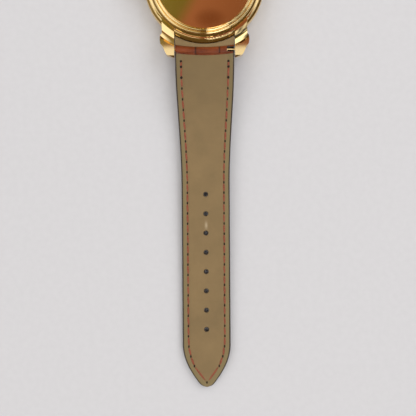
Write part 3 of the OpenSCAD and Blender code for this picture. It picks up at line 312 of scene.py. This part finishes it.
def long_low(u):
    return (BAR_Z - LOOP_R) * (1 - smooth((u - 2) / 27))


def short_low(u):
    drop = BAR_Z - LOOP_R - BUCKLE_Z + THIN_T / 2
    return BAR_Z - LOOP_R - drop * smooth((u - 2) / 40)


def long_top(u):
    return long_low(u) + thickness(u, 12, 85)


def short_top(u):
    return short_low(u) + thickness(u, 10, 34)


def scatter(number):
    """A fixed spread of values from 0 to 1, so that no two scales are alike."""
    value = math.sin(number * 12.9898 + 4.1) * 43758.5453
    return value - math.floor(value)


SCALE_ROW_L = 5.2
SCALE_DOME = 0.14
GROOVE_DEPTH = 0.16
GROOVE_W = 0.33


def scale_relief(u, x):
    """Height in mm of the embossed scales, 0 at a scale's crown, and how far a point is in a groove."""
    row = (u + 0.5 * math.sin(0.4 * x + 1.3)) / SCALE_ROW_L
    index = math.floor(row)
    width = 5.4 + 1.8 * scatter(index + 7)
    column = (x + 0.3 * math.sin(0.9 * u + index)) / width + scatter(index)
    across = column - math.floor(column)
    along = row - index
    if scatter(index * 3 + math.floor(column)) > 0.72:
        across = (across * 2) % 1.0
        width /= 2
    edge = min(min(along, 1 - along) * SCALE_ROW_L, min(across, 1 - across) * width)
    groove = math.exp(-((edge / GROOVE_W) ** 2))
    dome = 1 - (1 - (2 * along - 1) ** 4) * (1 - (2 * across - 1) ** 4)
    return -SCALE_DOME * dome - GROOVE_DEPTH * groove, groove


def loft(name, rings, material):
    """A skin through equal closed rings of points, in mm, in their order."""
    rows, columns = len(rings), len(rings[0])
    bpy.ops.mesh.primitive_grid_add(x_subdivisions=columns, y_subdivisions=rows - 1, size=1)
    obj = bpy.context.object
    for row, ring in enumerate(rings):
        for column in range(columns + 1):
            x, y, z = ring[column % columns]
            obj.data.vertices[row * (columns + 1) + column].co = (x * MM, y * MM, z * MM)
    return settle(obj, name, material)


def section(half, low, high, round_r, low_points, high_points):
    """A flat section with rounded corners: low(x) and high(x) give its two faces."""
    points = []
    flat = max(half - round_r, half * 0.5)
    corner = half - flat
    steps = 4
    for i in range(high_points):
        x = -flat + 2 * flat * i / (high_points - 1)
        points.append((x, high(x)))
    for i in range(1, steps):
        a = math.pi / 2 * i / steps
        points.append((flat + corner * math.sin(a), high(flat) - round_r * (1 - math.cos(a))))
    for i in range(1, steps):
        a = math.pi / 2 * i / steps
        points.append((flat + corner * math.cos(a), low(flat) + round_r * (1 - math.sin(a))))
    for i in range(low_points):
        x = flat - 2 * flat * i / (low_points - 1)
        points.append((x, low(x)))
    for i in range(1, steps):
        a = math.pi / 2 * i / steps
        points.append((-flat - corner * math.sin(a), low(-flat) + round_r * (1 - math.cos(a))))
    for i in range(1, steps):
        a = math.pi / 2 * i / steps
        points.append((-flat - corner * math.cos(a), high(-flat) - round_r * (1 - math.sin(a))))
    return points


# ---------------------------------------------------------------- strap, front leather
# Calf with a pressed alligator pattern: domed semi-gloss scales between darker grooves. The cut
# edges are sealed with dark paint.
MIX_FIRST, MIX_SECOND, MIX_RESULT = 6, 7, 2


def tint(material, colour, layer, tone):
    """Turns a colour towards a tone, as far as one of the mesh's painted layers says."""
    amount = add(material, "ShaderNodeAttribute", attribute_name=layer)
    mix = add(material, "ShaderNodeMix", {"Factor": (amount, "Fac")}, data_type="RGBA")
    material.node_tree.links.new(colour, mix.inputs[MIX_FIRST])
    mix.inputs[MIX_SECOND].default_value = linear(tone)
    return mix.outputs[MIX_RESULT]


def paint_layer(obj, layer_name, sign, amount):
    """Paints a layer on the mesh: amount(u, x) in mm, u along the strap from its bar."""
    layer = obj.data.attributes.new(layer_name, "FLOAT", "POINT")
    for vertex in obj.data.vertices:
        u = sign * vertex.co.y / MM - BAR_Y
        layer.data[vertex.index].value = amount(u, vertex.co.x / MM)


def scale_leather(name, stretch=1.0):
    material, shader = new_material(name)
    local = add(material, "ShaderNodeTexCoord")
    place = add(material, "ShaderNodeMapping", {"Vector": (local, "Object")})
    place.inputs["Scale"].default_value = (stretch, 1, 1)
    blotches = add(
        material,
        "ShaderNodeTexNoise",
        {"Vector": (place, "Vector"), "Scale": 1 / (2.2 * MM), "Detail": 5.0, "Roughness": 0.65},
    )
    wrinkles = add(
        material,
        "ShaderNodeTexVoronoi",
        {"Vector": (place, "Vector"), "Scale": 1 / (0.45 * MM), "Randomness": 1.0},
    )
    tone = two_tones(material, (blotches, "Fac"), 0.3, "#5e2408", 0.72, "#8d4218")
    tinted = tint(material, tone.outputs["Color"], "groove", "#2e1205")
    material.node_tree.links.new(tinted, shader.inputs["Base Color"])
    shader.inputs["Specular IOR Level"].default_value = 0.3
    surface(material, shader, (blotches, "Fac"), 0.3, 0.46, (wrinkles, "Distance"), 0.5, 0.04)
    return material


front_leather = scale_leather("alligator_grain_calf")
loop_leather = scale_leather("alligator_grain_calf_stretched", stretch=0.22)
edge_paint = plain("edge_paint", "#2e2318", "#3b2d1d", rough=0.42, grain_mm=0.4, depth_mm=0.02)


def paint_edges(obj, sign):
    """Edge paint on all but the face with the scales, and under the loop only near the sides."""
    for polygon in obj.data.polygons:
        u = sign * polygon.center.y / MM - BAR_Y
        near_side = abs(polygon.center.x / MM) > STRAP_W / 2 - 0.7
        if polygon.normal.z > -0.75 and (u > 3 or near_side):
            polygon.material_index = 1


def front_body(name, sign, half, low, top, start, end, rows, node, body):
    rings = []
    for i in range(rows + 1):
        u = start + (end - start) * i / rows
        u = min(u, end - 0.02)
        width = max(0.25, half(u) + 0.05)
        ceiling = top(u)
        floor_z = low(u)
        skin = section(
            width,
            lambda x: floor_z - scale_relief(u, x)[0],
            lambda x: ceiling - (0.1 if abs(x) > width - 0.8 else 0.45),
            0.45,
            72,
            24,
        )
        rings.append([(x, sign * (BAR_Y + u), z) for x, z in skin])
    obj = loft(name, rings, [front_leather, edge_paint])
    tidy_mesh(obj, 60)
    paint_layer(obj, "groove", sign, lambda u, x: scale_relief(u, x)[1])
    paint_edges(obj, sign)
    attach(obj, body)
    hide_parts(node)
    return obj


FRONT_FROM = 1.0
long_front = front_body(
    "long_front_leather", -1, long_half, long_low, long_top, FRONT_FROM, LONG_L, 300,
    "long_front", "long_strap",
)
front_body(
    "short_front_leather", 1, short_half, short_low, short_top, FRONT_FROM, SHORT_L - 1.0, 200,
    "short_front", "short_strap",
)


# ---------------------------------------------------------------- strap, loops round the bars
# The front leather turns round the curved spring bar and ends under the lining. A slot at one end
# lets a nail reach the bar.
NOTCH_L = 2.45
NOTCH_W = 1.8
LOOP_FOLDS = (-3.0, 4.9)
LOOP_WALL = 0.6


def fold_distance(x):
    return min(abs(x - at) for at in LOOP_FOLDS)


def bar_loop(name, sign, node, body, slot_side):
    rings = []
    rows = 90
    columns = 40
    for i in range(rows + 1):
        x = -STRAP_W / 2 + STRAP_W * i / rows
        centre_y = BAR_Y + BOW_SAG - (BOW_R - math.sqrt(BOW_R**2 - x * x))
        end_round = 0.12 * smooth((abs(x) - STRAP_W / 2 + 0.5) / 0.5)
        ring = []
        for k in range(columns):
            a = 2 * math.pi * k / columns
            fold = math.exp(-((fold_distance(x) / 0.28) ** 2))
            r = LOOP_R - end_round - 0.09 * fold - 0.02 * math.sin(7 * x)
            ring.append((x, sign * (centre_y + r * math.cos(a)), BAR_Z + r * math.sin(a)))
        rings.append(ring)
    obj = loft(name, rings, [loop_leather, edge_paint])
    take(obj)
    bpy.ops.object.mode_set(mode="EDIT")
    bpy.ops.mesh.select_all(action="SELECT")
    bpy.ops.mesh.remove_doubles(threshold=1e-7)
    bpy.ops.mesh.normals_make_consistent(inside=False)
    bpy.ops.mesh.select_all(action="DESELECT")
    bpy.ops.object.mode_set(mode="OBJECT")
    for polygon in obj.data.polygons:
        x, y, z = (value / MM for value in polygon.center)
        near_end = slot_side * x > STRAP_W / 2 - NOTCH_L
        across = abs(sign * y - BAR_Y - 0.1) < NOTCH_W / 2
        polygon.select = near_end and across and z > BAR_Z
    bpy.ops.object.mode_set(mode="EDIT")
    bpy.ops.mesh.delete(type="FACE")
    bpy.ops.object.mode_set(mode="OBJECT")
    wall = obj.modifiers.new("wall", "SOLIDIFY")
    wall.thickness = LOOP_WALL * MM
    wall.offset = -1
    wall.material_offset = 1
    wall.material_offset_rim = 1
    bpy.ops.object.modifier_apply(modifier="wall")
    bpy.ops.object.shade_smooth_by_angle(angle=math.radians(45))
    obj.select_set(False)
    paint_layer(obj, "groove", sign, lambda u, x: math.exp(-((fold_distance(x) / 0.25) ** 2)))
    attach(obj, body)
    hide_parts(node)
    return obj


bar_loop("long_bar_loop", -1, "long_front", "long_strap", 1)
bar_loop("short_bar_loop", 1, "short_front", "short_strap", 1)


# ---------------------------------------------------------------- strap, lining
# Smooth khaki calf on the wrist side. The seam draws it down into a shallow channel, the holes are
# punched through, and wear has left faint creases across it near the holes.
def lining_leather_material():
    material, shader = new_material("khaki_lining_calf")
    place = add(material, "ShaderNodeTexCoord")
    clouds = add(
        material,
        "ShaderNodeTexNoise",
        {"Vector": (place, "Object"), "Scale": 1 / (9 * MM), "Detail": 5.0, "Roughness": 0.6},
    )
    grain = add(
        material,
        "ShaderNodeTexVoronoi",
        {"Vector": (place, "Object"), "Scale": 1 / (0.4 * MM), "Randomness": 1.0},
    )
    colour = two_tones(material, (clouds, "Fac"), 0.3, "#806841", 0.7, "#8e744b").outputs["Color"]
    # the margin's colour and a pale rubbed mark are the leather's own; the third tone is painted shade near
    # the case
    for layer, tone in (("edge", "#84724a"), ("rubbed", "#d8c6a8"), ("handled", "#6f5b36")):
        colour = tint(material, colour, layer, tone)
    material.node_tree.links.new(colour, shader.inputs["Base Color"])
    surface(material, shader, (clouds, "Fac"), 0.5, 0.66, (grain, "Distance"), 0.35, 0.03)
    return material


lining_leather = lining_leather_material()
EDGE_BAND = 0.32
FIRST_HOLE = LONG_L - 19.4
HOLE_PITCH = 6.5
HOLE_R = 0.85
hole_places = [FIRST_HOLE - i * HOLE_PITCH for i in range(8)]


def lining_height(u, x, half, holes, creases_at):
    inside = half - SEAM_INSET - abs(x)
    rise = -0.1 * math.exp(-((inside / 0.4) ** 2)) + 0.03 * math.exp(-(((inside - 1.0) / 0.5) ** 2))
    rise -= 0.1 * smooth(1 - (half - abs(x)) / 0.7)
    rise += 0.03 * math.sin(0.35 * u + 0.7 * x) * math.sin(0.5 * x + 1.1)
    for hole in holes:
        away = math.hypot(u - hole, x)
        if away < 2.4:
            rise -= 0.1 * math.exp(-((away / 1.25) ** 2))
    for place, depth in creases_at:
        away = u - place - 0.25 * math.sin(0.5 * x)
        rise -= 1.6 * depth * math.exp(-((away / 0.28) ** 2)) * smooth(inside / 2)
    return rise


def lining_body(name, sign, half, top, start, end, rows, node, body, holes, creases_at):
    rings = []
    for i in range(rows + 1):
        u = min(start + (end - start) * i / rows, end - 0.02)
        width = max(0.2, half(u) - EDGE_BAND)
        ceiling = top(u)
        skin = section(
            width,
            lambda x: ceiling - LINING_T,
            lambda x: ceiling + lining_height(u, x, width, holes, creases_at),
            0.22,
            6,
            90,
        )
        bow = [BOW_R - math.sqrt(BOW_R**2 - x * x) for x, _ in skin]
        ease = 1 - smooth((u - start) / 10)
        rings.append([(x, sign * (BAR_Y + u - ease * b), z) for (x, z), b in zip(skin, bow)])
    obj = loft(name, rings, lining_leather)
    tidy_mesh(obj, 50)
    paint_layer(obj, "edge", sign, lambda u, x: smooth((abs(x) - half(u, SEAM_INSET)) / 0.5 + 0.5))
    # painted shade: the lining is darkened towards the end beside the case, where the raised case shades it
    paint_layer(obj, "handled", sign, lambda u, x: 0.5 * (1 - smooth((u - 8) / 22)))
    if holes:
        # the tongue has rubbed the leather pale between two of the holes
        rub_u = holes[5] - 2.6
        paint_layer(
            obj,
            "rubbed",
            sign,
            lambda u, x: 0.5 * math.exp(-(((x - 0.1) / 0.4) ** 2)) * math.exp(-(((u - rub_u) / 1.1) ** 2)),
        )
    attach(obj, body)
    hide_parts(node)
    return obj


LINING_FROM = 2.3
wear_creases = [(FIRST_HOLE - 2.2, 0.05), (FIRST_HOLE - 9.3, 0.07), (FIRST_HOLE - 11.9, 0.09)]
wear_creases += [(FIRST_HOLE - 15.6, 0.05), (30.0, 0.04), (24.5, 0.05), (18.0, 0.04)]
long_lining = lining_body(
    "long_lining_leather", -1, long_half, long_top, LINING_FROM, LONG_L, 300,
    "long_lining", "long_strap", hole_places, wear_creases,
)
lining_body(
    "short_lining_leather", 1, short_half, short_top, LINING_FROM, SHORT_L - 1.4, 200,
    "short_lining", "short_strap", [], [(20.0, 0.05), (27.0, 0.04), (33.5, 0.05)],
)


# the punched holes' walls take this dark brown: partly the cut leather's colour, partly painted shade inside
# the holes
cut_edge_and_hole_shade = plain("cut_edge_and_hole_shade", "#3b241b", "#4a2f24", rough=0.8, grain_mm=0.3)


def punch(obj, places, radius):
    """All the holes are cut at once, by one set of cylinders turned off the mesh's own lines."""
    cutters = []
    for u in places:
        bpy.ops.mesh.primitive_cylinder_add(
            vertices=40,
            radius=radius * MM,
            depth=14 * MM,
            location=(0.004 * MM, -(BAR_Y + u + 0.003) * MM, 2 * MM),
            rotation=(0, 0, 0.07),
        )
        cutters.append(bpy.context.object)
    cutter = join_pieces(cutters, "hole_cutter", cut_edge_and_hole_shade)
    cut = obj.modifiers.new("holes", "BOOLEAN")
    cut.operation = "DIFFERENCE"
    cut.solver = "EXACT"
    # the walls take the cutter's dark brown, which is partly painted shade
    cut.material_mode = "TRANSFER"
    cut.object = cutter
    take(obj)
    bpy.ops.object.modifier_apply(modifier="holes")
    bpy.data.objects.remove(cutter)
    bpy.ops.object.mode_set(mode="EDIT")
    bpy.ops.mesh.select_all(action="SELECT")
    bpy.ops.mesh.remove_doubles(threshold=0.02 * MM)
    bpy.ops.mesh.quads_convert_to_tris()
    bpy.ops.object.mode_set(mode="OBJECT")
    bpy.ops.object.shade_smooth_by_angle(angle=math.radians(30))
    bpy.ops.object.select_all(action="DESELECT")


punch(long_lining, hole_places, HOLE_R)
punch(long_front, hole_places, HOLE_R - 0.25)

# ---------------------------------------------------------------- strap, curved ends
# A short tab of lining leather fills the gap between the loop and the round case. It is cut to the
# case's curve, and its edge is bare.
dress(lining_leather, "long_curved_end", "short_curved_end")
leather_board = plain("undyed_leather_board", "#a98f63", "#b79f74", rough=0.85, grain_mm=0.4)
dress(leather_board, "long_filler", "short_filler")


# ---------------------------------------------------------------- strap, seam
# Two-ply waxed reddish thread, one saddle stitch every 3.45 mm, drawn tight into needle holes; the
# holes are dark blobs of painted shade. The seam starts with doubled stitches.
thread = plain("waxed_thread", "#7c3620", "#a25338", rough=0.6, grain_mm=0.3, depth_mm=0.06)
# painted shade: the needle holes are dark blobs laid on the face, not real holes
needle_hole_shade = plain("painted_needle_hole_shade", "#1c0b04", "#2c140a", rough=0.9, grain_mm=0.3)
STITCH_PITCH = 3.45
SEAM_FROM = 4.3
SECOND_HOLE = 6.1
NEEDLE_LIFT = 0.03


def seam_points(half, last_u, tip):
    """Needle holes down one side, and round the pointed tip where there is one."""
    points = [(half(SEAM_FROM, SEAM_INSET), SEAM_FROM)]
    u = SECOND_HOLE
    while u < last_u:
        points.append((half(u, SEAM_INSET), u))
        step = STITCH_PITCH
        if tip:
            ahead = half(min(u + step, LONG_L - 2.3), SEAM_INSET)
            drop = half(u, SEAM_INSET) - ahead
            step = STITCH_PITCH * STITCH_PITCH / math.hypot(STITCH_PITCH, drop)
        u += step
    return points


def one_stitch(start, end, sign, face, wide, lift):
    """A flattened bead of thread from one needle hole to the next."""
    (x0, u0), (x1, u1) = start, end
    length = math.hypot(x1 - x0, u1 - u0)
    z0, z1 = face(u0), face(u1)
    bpy.ops.mesh.primitive_uv_sphere_add(
        segments=12,
        ring_count=8,
        radius=1,
        location=((x0 + x1) / 2 * MM, sign * (BAR_Y + (u0 + u1) / 2) * MM, ((z0 + z1) / 2 + lift) * MM),
    )
    stitch = bpy.context.object
    stitch.scale = (wide * MM, (length / 2 - 0.3) * MM, 0.2 * MM)
    run, side = sign * (u1 - u0), x1 - x0
    heading = math.atan2(-side, run) if sign > 0 else math.atan2(side, -run)
    stitch.rotation_euler = (math.atan2(sign * (z1 - z0), length), 0, heading)
    return stitch


def seam(name, sign, half, face, last_u, tip, up, body, node):
    stitches = []
    holes = []
    for side in (-1, 1):
        points = [(side * x, u) for x, u in seam_points(half, last_u, tip)]
        if tip:
            points.append((0.0, LONG_L - 1.6))
        for i, (start, end) in enumerate(zip(points, points[1:])):
            lean = 0.1 + 0.05 * math.sin(2.3 * i)
            start, end = (start[0] - lean, start[1]), (end[0] + lean, end[1])
            stitches.append(one_stitch(start, end, sign, face, 0.36, 0))
        # the first stitch is sewn back over itself
        for i in (0, 1):
            start = (points[i][0] + 0.22, points[i][1] - 0.1)
            end = (points[i + 1][0] - 0.2, points[i + 1][1])
            stitches.append(one_stitch(start, end, sign, face, 0.3, up * 0.14))
        # dark blobs of painted shade where the thread goes into the leather
        for i, (x, u) in enumerate(points):
            bpy.ops.mesh.primitive_uv_sphere_add(
                segments=12,
                ring_count=6,
                radius=1,
                location=(x * MM, sign * (BAR_Y + u) * MM, (face(u) + up * NEEDLE_LIFT) * MM),
            )
            bpy.context.object.scale = ((0.42 if i < 3 else 0.27) * MM, 0.5 * MM, 0.24 * MM)
            holes.append(bpy.context.object)
    stitch_row = join_pieces(stitches, name, thread)
    needle_shade_row = join_pieces(holes, name + "_needle_holes", needle_hole_shade)
    for obj in (stitch_row, needle_shade_row):
        take(obj)
        bpy.ops.object.shade_smooth()
        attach(obj, body)
        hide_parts(node)


TOP_SINK = 0.1
FRONT_SINK = 0.16
LONG_LAST = LONG_L - 4.2
SHORT_LAST = SHORT_L - 12


def long_wrist_face(u):
    return long_top(u) - TOP_SINK


def long_front_face(u):
    return long_low(u) + FRONT_SINK


def short_wrist_face(u):
    return short_top(u) - TOP_SINK


def short_front_face(u):
    return short_low(u) + FRONT_SINK


seam("long_seam", -1, long_half, long_wrist_face, LONG_LAST, True, 1, "long_strap", "long_thread")
seam("long_front_seam", -1, long_half, long_front_face, LONG_LAST, True, -1, "long_strap", "long_thread")
seam("short_seam", 1, short_half, short_wrist_face, SHORT_LAST, False, 1, "short_strap", "short_thread")
seam(
    "short_front_seam", 1, short_half, short_front_face, SHORT_LAST, False, -1,
    "short_strap", "short_thread",
)


# ---------------------------------------------------------------- keepers
# Two loops of the front leather hold the strap's tail: one is sewn on and one slides. Their edges
# are painted.
KEEPER_WALL = 1.0
KEEPER_CROWN = 0.16
KEEPER_GROOVES = (-3.1, 2.9)


def keeper(node, body):
    """A loop with a slightly crowned outer face, as wide and high as its CAD box."""
    low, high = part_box(node)
    x_in = high[0] / MM - KEEPER_WALL
    z_in = high[2] / MM - KEEPER_WALL
    y0, y1 = low[1] / MM, high[1] / MM
    rings = []
    rows = 26
    steps = 12
    for i in range(rows + 1):
        along = i / rows
        y = y0 + (y1 - y0) * along
        corner_r = KEEPER_WALL - KEEPER_CROWN * (2 * along - 1) ** 4
        outer = []
        inner = []
        corners = ((x_in, z_in, 0), (-x_in, z_in, 90), (-x_in, KEEPER_WALL, 180), (x_in, KEEPER_WALL, 270))
        for cx, cz, start in corners:
            for k in range(steps + 1):
                a = math.radians(start + 90 * k / steps)
                outer.append((cx + corner_r * math.cos(a), y, max(0.0, cz + corner_r * math.sin(a))))
                inner.append((cx, y, cz))
        rings.append((outer, inner))
    loop = [outer for outer, _ in rings] + [inner for _, inner in reversed(rings)]
    obj = loft(node + "_leather", loop + loop[:1], [front_leather, edge_paint])
    tidy_mesh(obj, 40)
    paint_layer(
        obj,
        "groove",
        1,
        lambda u, x: 0.7 * math.exp(-((min(abs(x - at) for at in KEEPER_GROOVES) / 0.3) ** 2)),
    )
    for polygon in obj.data.polygons:
        if abs(polygon.normal.y) > 0.7:
            polygon.material_index = 1
    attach(obj, body)
    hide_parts(node)


keeper("fixed_keeper", "short_strap")
keeper("sliding_keeper", "sliding_keeper")

# ---------------------------------------------------------------- table and light
# The watch lies on a pale matt table top under a soft window light and two weak fills. The world is
# a patterned room of bright and dark stripes with a two-tone card overhead, placed to be mirrored
# in the polished gold. The camera itself sees a flat pale backdrop.
bpy.ops.mesh.primitive_plane_add(size=4, location=(0, -0.07, -0.00005))
table = bpy.context.object
table.name = "table_top"
paper = plain("matt_table", "#dcdbdf", "#dad9dd", rough=0.85, grain_mm=2, depth_mm=0.02)
table.data.materials.append(paper)


AIM = (0, -0.06, 0)


def area_light(name, place, size, power):
    data = bpy.data.lights.new(name, "AREA")
    data.size = size
    data.energy = power
    lamp = bpy.data.objects.new(name, data)
    bpy.context.collection.objects.link(lamp)
    lamp.location = place
    lamp.visible_glossy = name == "window"
    lamp.rotation_euler = (Vector(AIM) - Vector(place)).to_track_quat("-Z", "Y").to_euler()


area_light("window", (0.5, 0.3, 0.75), 0.6, 1.2)
area_light("fill", (-0.6, -0.35, 0.6), 0.7, 0.4)
area_light("front_fill", (0.2, -0.85, 0.6), 0.7, 0.2)
world = bpy.data.worlds.new("studio")
bpy.context.scene.world = world
world.use_nodes = True
backdrop = world.node_tree.nodes["Background"]
backdrop.inputs["Strength"].default_value = 2.0


def math_node(operation, first, second=0.0, third=0.0):
    """One step of arithmetic in the world's nodes, on numbers or on other nodes' outputs."""
    node = world.node_tree.nodes.new("ShaderNodeMath")
    node.operation = operation
    for socket, value in zip(node.inputs, (first, second, third)):
        if isinstance(value, (int, float)):
            socket.default_value = value
        else:
            world.node_tree.links.new(value, socket)
    return node.outputs[0]


def ramp(factor, stops):
    """A ramp through stops of (place, grey or colour)."""
    node = world.node_tree.nodes.new("ShaderNodeValToRGB")
    world.node_tree.links.new(factor, node.inputs["Fac"])
    elements = node.color_ramp.elements
    while len(elements) < len(stops):
        elements.new(1.0)
    for element, (place, colour) in zip(elements, stops):
        element.position = place
        element.color = (*(colour if isinstance(colour, tuple) else (colour,) * 3), 1.0)
    return node.outputs["Color"]


def blend_colour(factor, first, second):
    node = world.node_tree.nodes.new("ShaderNodeMix")
    node.data_type = "RGBA"
    world.node_tree.links.new(factor, node.inputs["Factor"])
    world.node_tree.links.new(first, node.inputs[MIX_FIRST])
    world.node_tree.links.new(second, node.inputs[MIX_SECOND])
    return node.outputs[MIX_RESULT]


sky = world.node_tree.nodes.new("ShaderNodeTexCoord").outputs["Generated"]
axes = world.node_tree.nodes.new("ShaderNodeSeparateXYZ")
world.node_tree.links.new(sky, axes.inputs["Vector"])
east, north, up_axis = axes.outputs
turn = math_node("ARCTAN2", north, east)
around = math_node("MULTIPLY_ADD", turn, 1 / (2 * math.pi), 0.5)
# Every tone here is half of what it gives, as the backdrop's strength is two. First the walls, by
# the direction that they are seen in.
BROWN_DARK = (0.07, 0.045, 0.015)
OLIVE_DARK = (0.14, 0.11, 0.045)
walls = ramp(
    around,
    [
        (0.0, 0.7), (0.1, 0.7), (0.15, (0.3, 0.25, 0.12)), (0.19, (0.1, 0.075, 0.03)),
        (0.255, BROWN_DARK), (0.272, 1.3), (0.352, 1.3), (0.36, 0.03), (0.375, 0.03), (0.385, 0.7),
        (0.4, 0.04), (0.425, 0.5), (0.44, 0.04), (0.47, 0.4), (0.6, 0.6), (0.685, 0.7),
        (0.7, OLIVE_DARK), (0.775, OLIVE_DARK), (0.785, 0.95), (0.81, 0.95), (0.818, 0.03),
        (0.84, 0.03), (0.848, 0.6), (0.87, 0.6), (0.878, 0.04), (0.9, 0.04), (0.91, 0.45),
    ],
)
# then the ceiling, by how far a direction leans to the side and to the far end
side = math_node("DIVIDE", east, math_node("MAXIMUM", up_axis, 0.05))
depth = math_node("DIVIDE", north, math_node("MAXIMUM", up_axis, 0.05))
across = math_node("MULTIPLY_ADD", side, 2.5, 0.5)
ceiling_colour = ramp(
    across,
    [
        (0.0, 0.7), (0.38, 0.7), (0.41, (0.16, 0.12, 0.05)), (0.5, (0.06, 0.04, 0.015)),
        (0.53, (0.04, 0.025, 0.01)), (0.55, 1.5), (0.58, 1.5), (0.59, 0.1), (0.61, 0.1), (0.62, 2.0),
        (0.68, 2.0), (0.69, 0.03), (0.71, 0.03), (0.78, 0.03), (0.79, 0.6), (0.82, 0.6),
        (0.83, 0.04), (1.0, 0.04),
    ],
)
far_ceiling = ramp(
    across,
    [
        (0.0, 0.75), (0.3, 0.75), (0.36, 0.55), (0.65, 0.55), (0.68, 0.03), (0.76, 0.03), (0.78, 0.6),
        (0.8, 0.03), (1.0, 0.03),
    ],
)
near_floor = ramp(around, [(0.0, 0.26), (0.2, 0.26), (0.22, 0.04), (0.28, 0.04), (0.3, 0.26)])
low_wall = ramp(around, [(0.0, (0.16, 0.13, 0.07)), (0.18, (0.06, 0.04, 0.015)), (1.0, (0.06, 0.04, 0.015))])
room = blend_colour(ramp(up_axis, [(0.02, 0.0), (0.1, 1.0)]), near_floor, walls)
room = blend_colour(ramp(up_axis, [(0.3, 1.0), (0.42, 0.0)]), room, low_wall)
above = ramp(up_axis, [(0.945, 0.0), (0.97, 1.0)])
room = blend_colour(above, room, ceiling_colour)
behind = ramp(depth, [(0.13, 0.0), (0.16, 1.0)])
room = blend_colour(math_node("MULTIPLY", behind, above), room, far_ceiling)
# the two-tone card: olive and copper with a slanted edge between them, and a soft dark spot
slanted = math_node("ADD", math_node("MULTIPLY", side, 5.0), math_node("MULTIPLY_ADD", depth, -2.8, 1.245))
card_tone = ramp(
    slanted,
    [
        (0.16, (0.1225, 0.108, 0.0295)), (0.36, (0.103, 0.086, 0.022)), (0.45, (0.19, 0.077, 0.046)),
        (0.75, (0.147, 0.057, 0.031)),
    ],
)
SPOT_TONE = (0.1, 0.032, 0.014)
SPOT_AT, SPOT_SIZE = (0.004, 0.243), (0.022, 0.014)
spot_tone = ramp(side, [(0.0, SPOT_TONE), (1.0, SPOT_TONE)])
spot_x = math_node("DIVIDE", math_node("SUBTRACT", side, SPOT_AT[0]), SPOT_SIZE[0])
spot_y = math_node("DIVIDE", math_node("SUBTRACT", depth, SPOT_AT[1]), SPOT_SIZE[1])
spot = math_node("ADD", math_node("MULTIPLY", spot_x, spot_x), math_node("MULTIPLY", spot_y, spot_y))
card = blend_colour(ramp(spot, [(0.0, 0.85), (1.0, 0.0)]), card_tone, spot_tone)
CARD_AT, CARD_HALF = (-0.0028, 0.2745), (0.0625, 0.0675)
CARD_EDGE = 200.0
edge_x = math_node("SUBTRACT", CARD_HALF[0], math_node("ABSOLUTE", math_node("SUBTRACT", side, CARD_AT[0])))
edge_y = math_node("SUBTRACT", CARD_HALF[1], math_node("ABSOLUTE", math_node("SUBTRACT", depth, CARD_AT[1])))
on_card = math_node("MULTIPLY_ADD", math_node("MINIMUM", edge_x, edge_y), CARD_EDGE, 0.5)
room = blend_colour(ramp(on_card, [(0.0, 0.0), (1.0, 1.0)]), room, card)
# the camera sees one pale tone behind the table, and not the room
BACKDROP_TONE = 0.33
seen = world.node_tree.nodes.new("ShaderNodeLightPath").outputs["Is Camera Ray"]
room = blend_colour(seen, room, ramp(around, [(0.0, BACKDROP_TONE), (1.0, BACKDROP_TONE)]))
world.node_tree.links.new(room, backdrop.inputs["Color"])
bpy.context.scene.view_settings.view_transform = "Standard"

# ---------------------------------------------------------------- camera
# Straight down from 265 mm, over the middle of the strap, turned a little.
lens = bpy.data.cameras.new("camera")
lens.sensor_width = 36
lens.lens = 67.5
lens.clip_start = 0.01
camera = bpy.data.objects.new("camera", lens)
camera.location = (0.75 * MM, -74.6 * MM, 265 * MM)
camera.rotation_euler = (0, 0, math.radians(-0.4))
bpy.context.collection.objects.link(camera)
bpy.context.scene.camera = camera
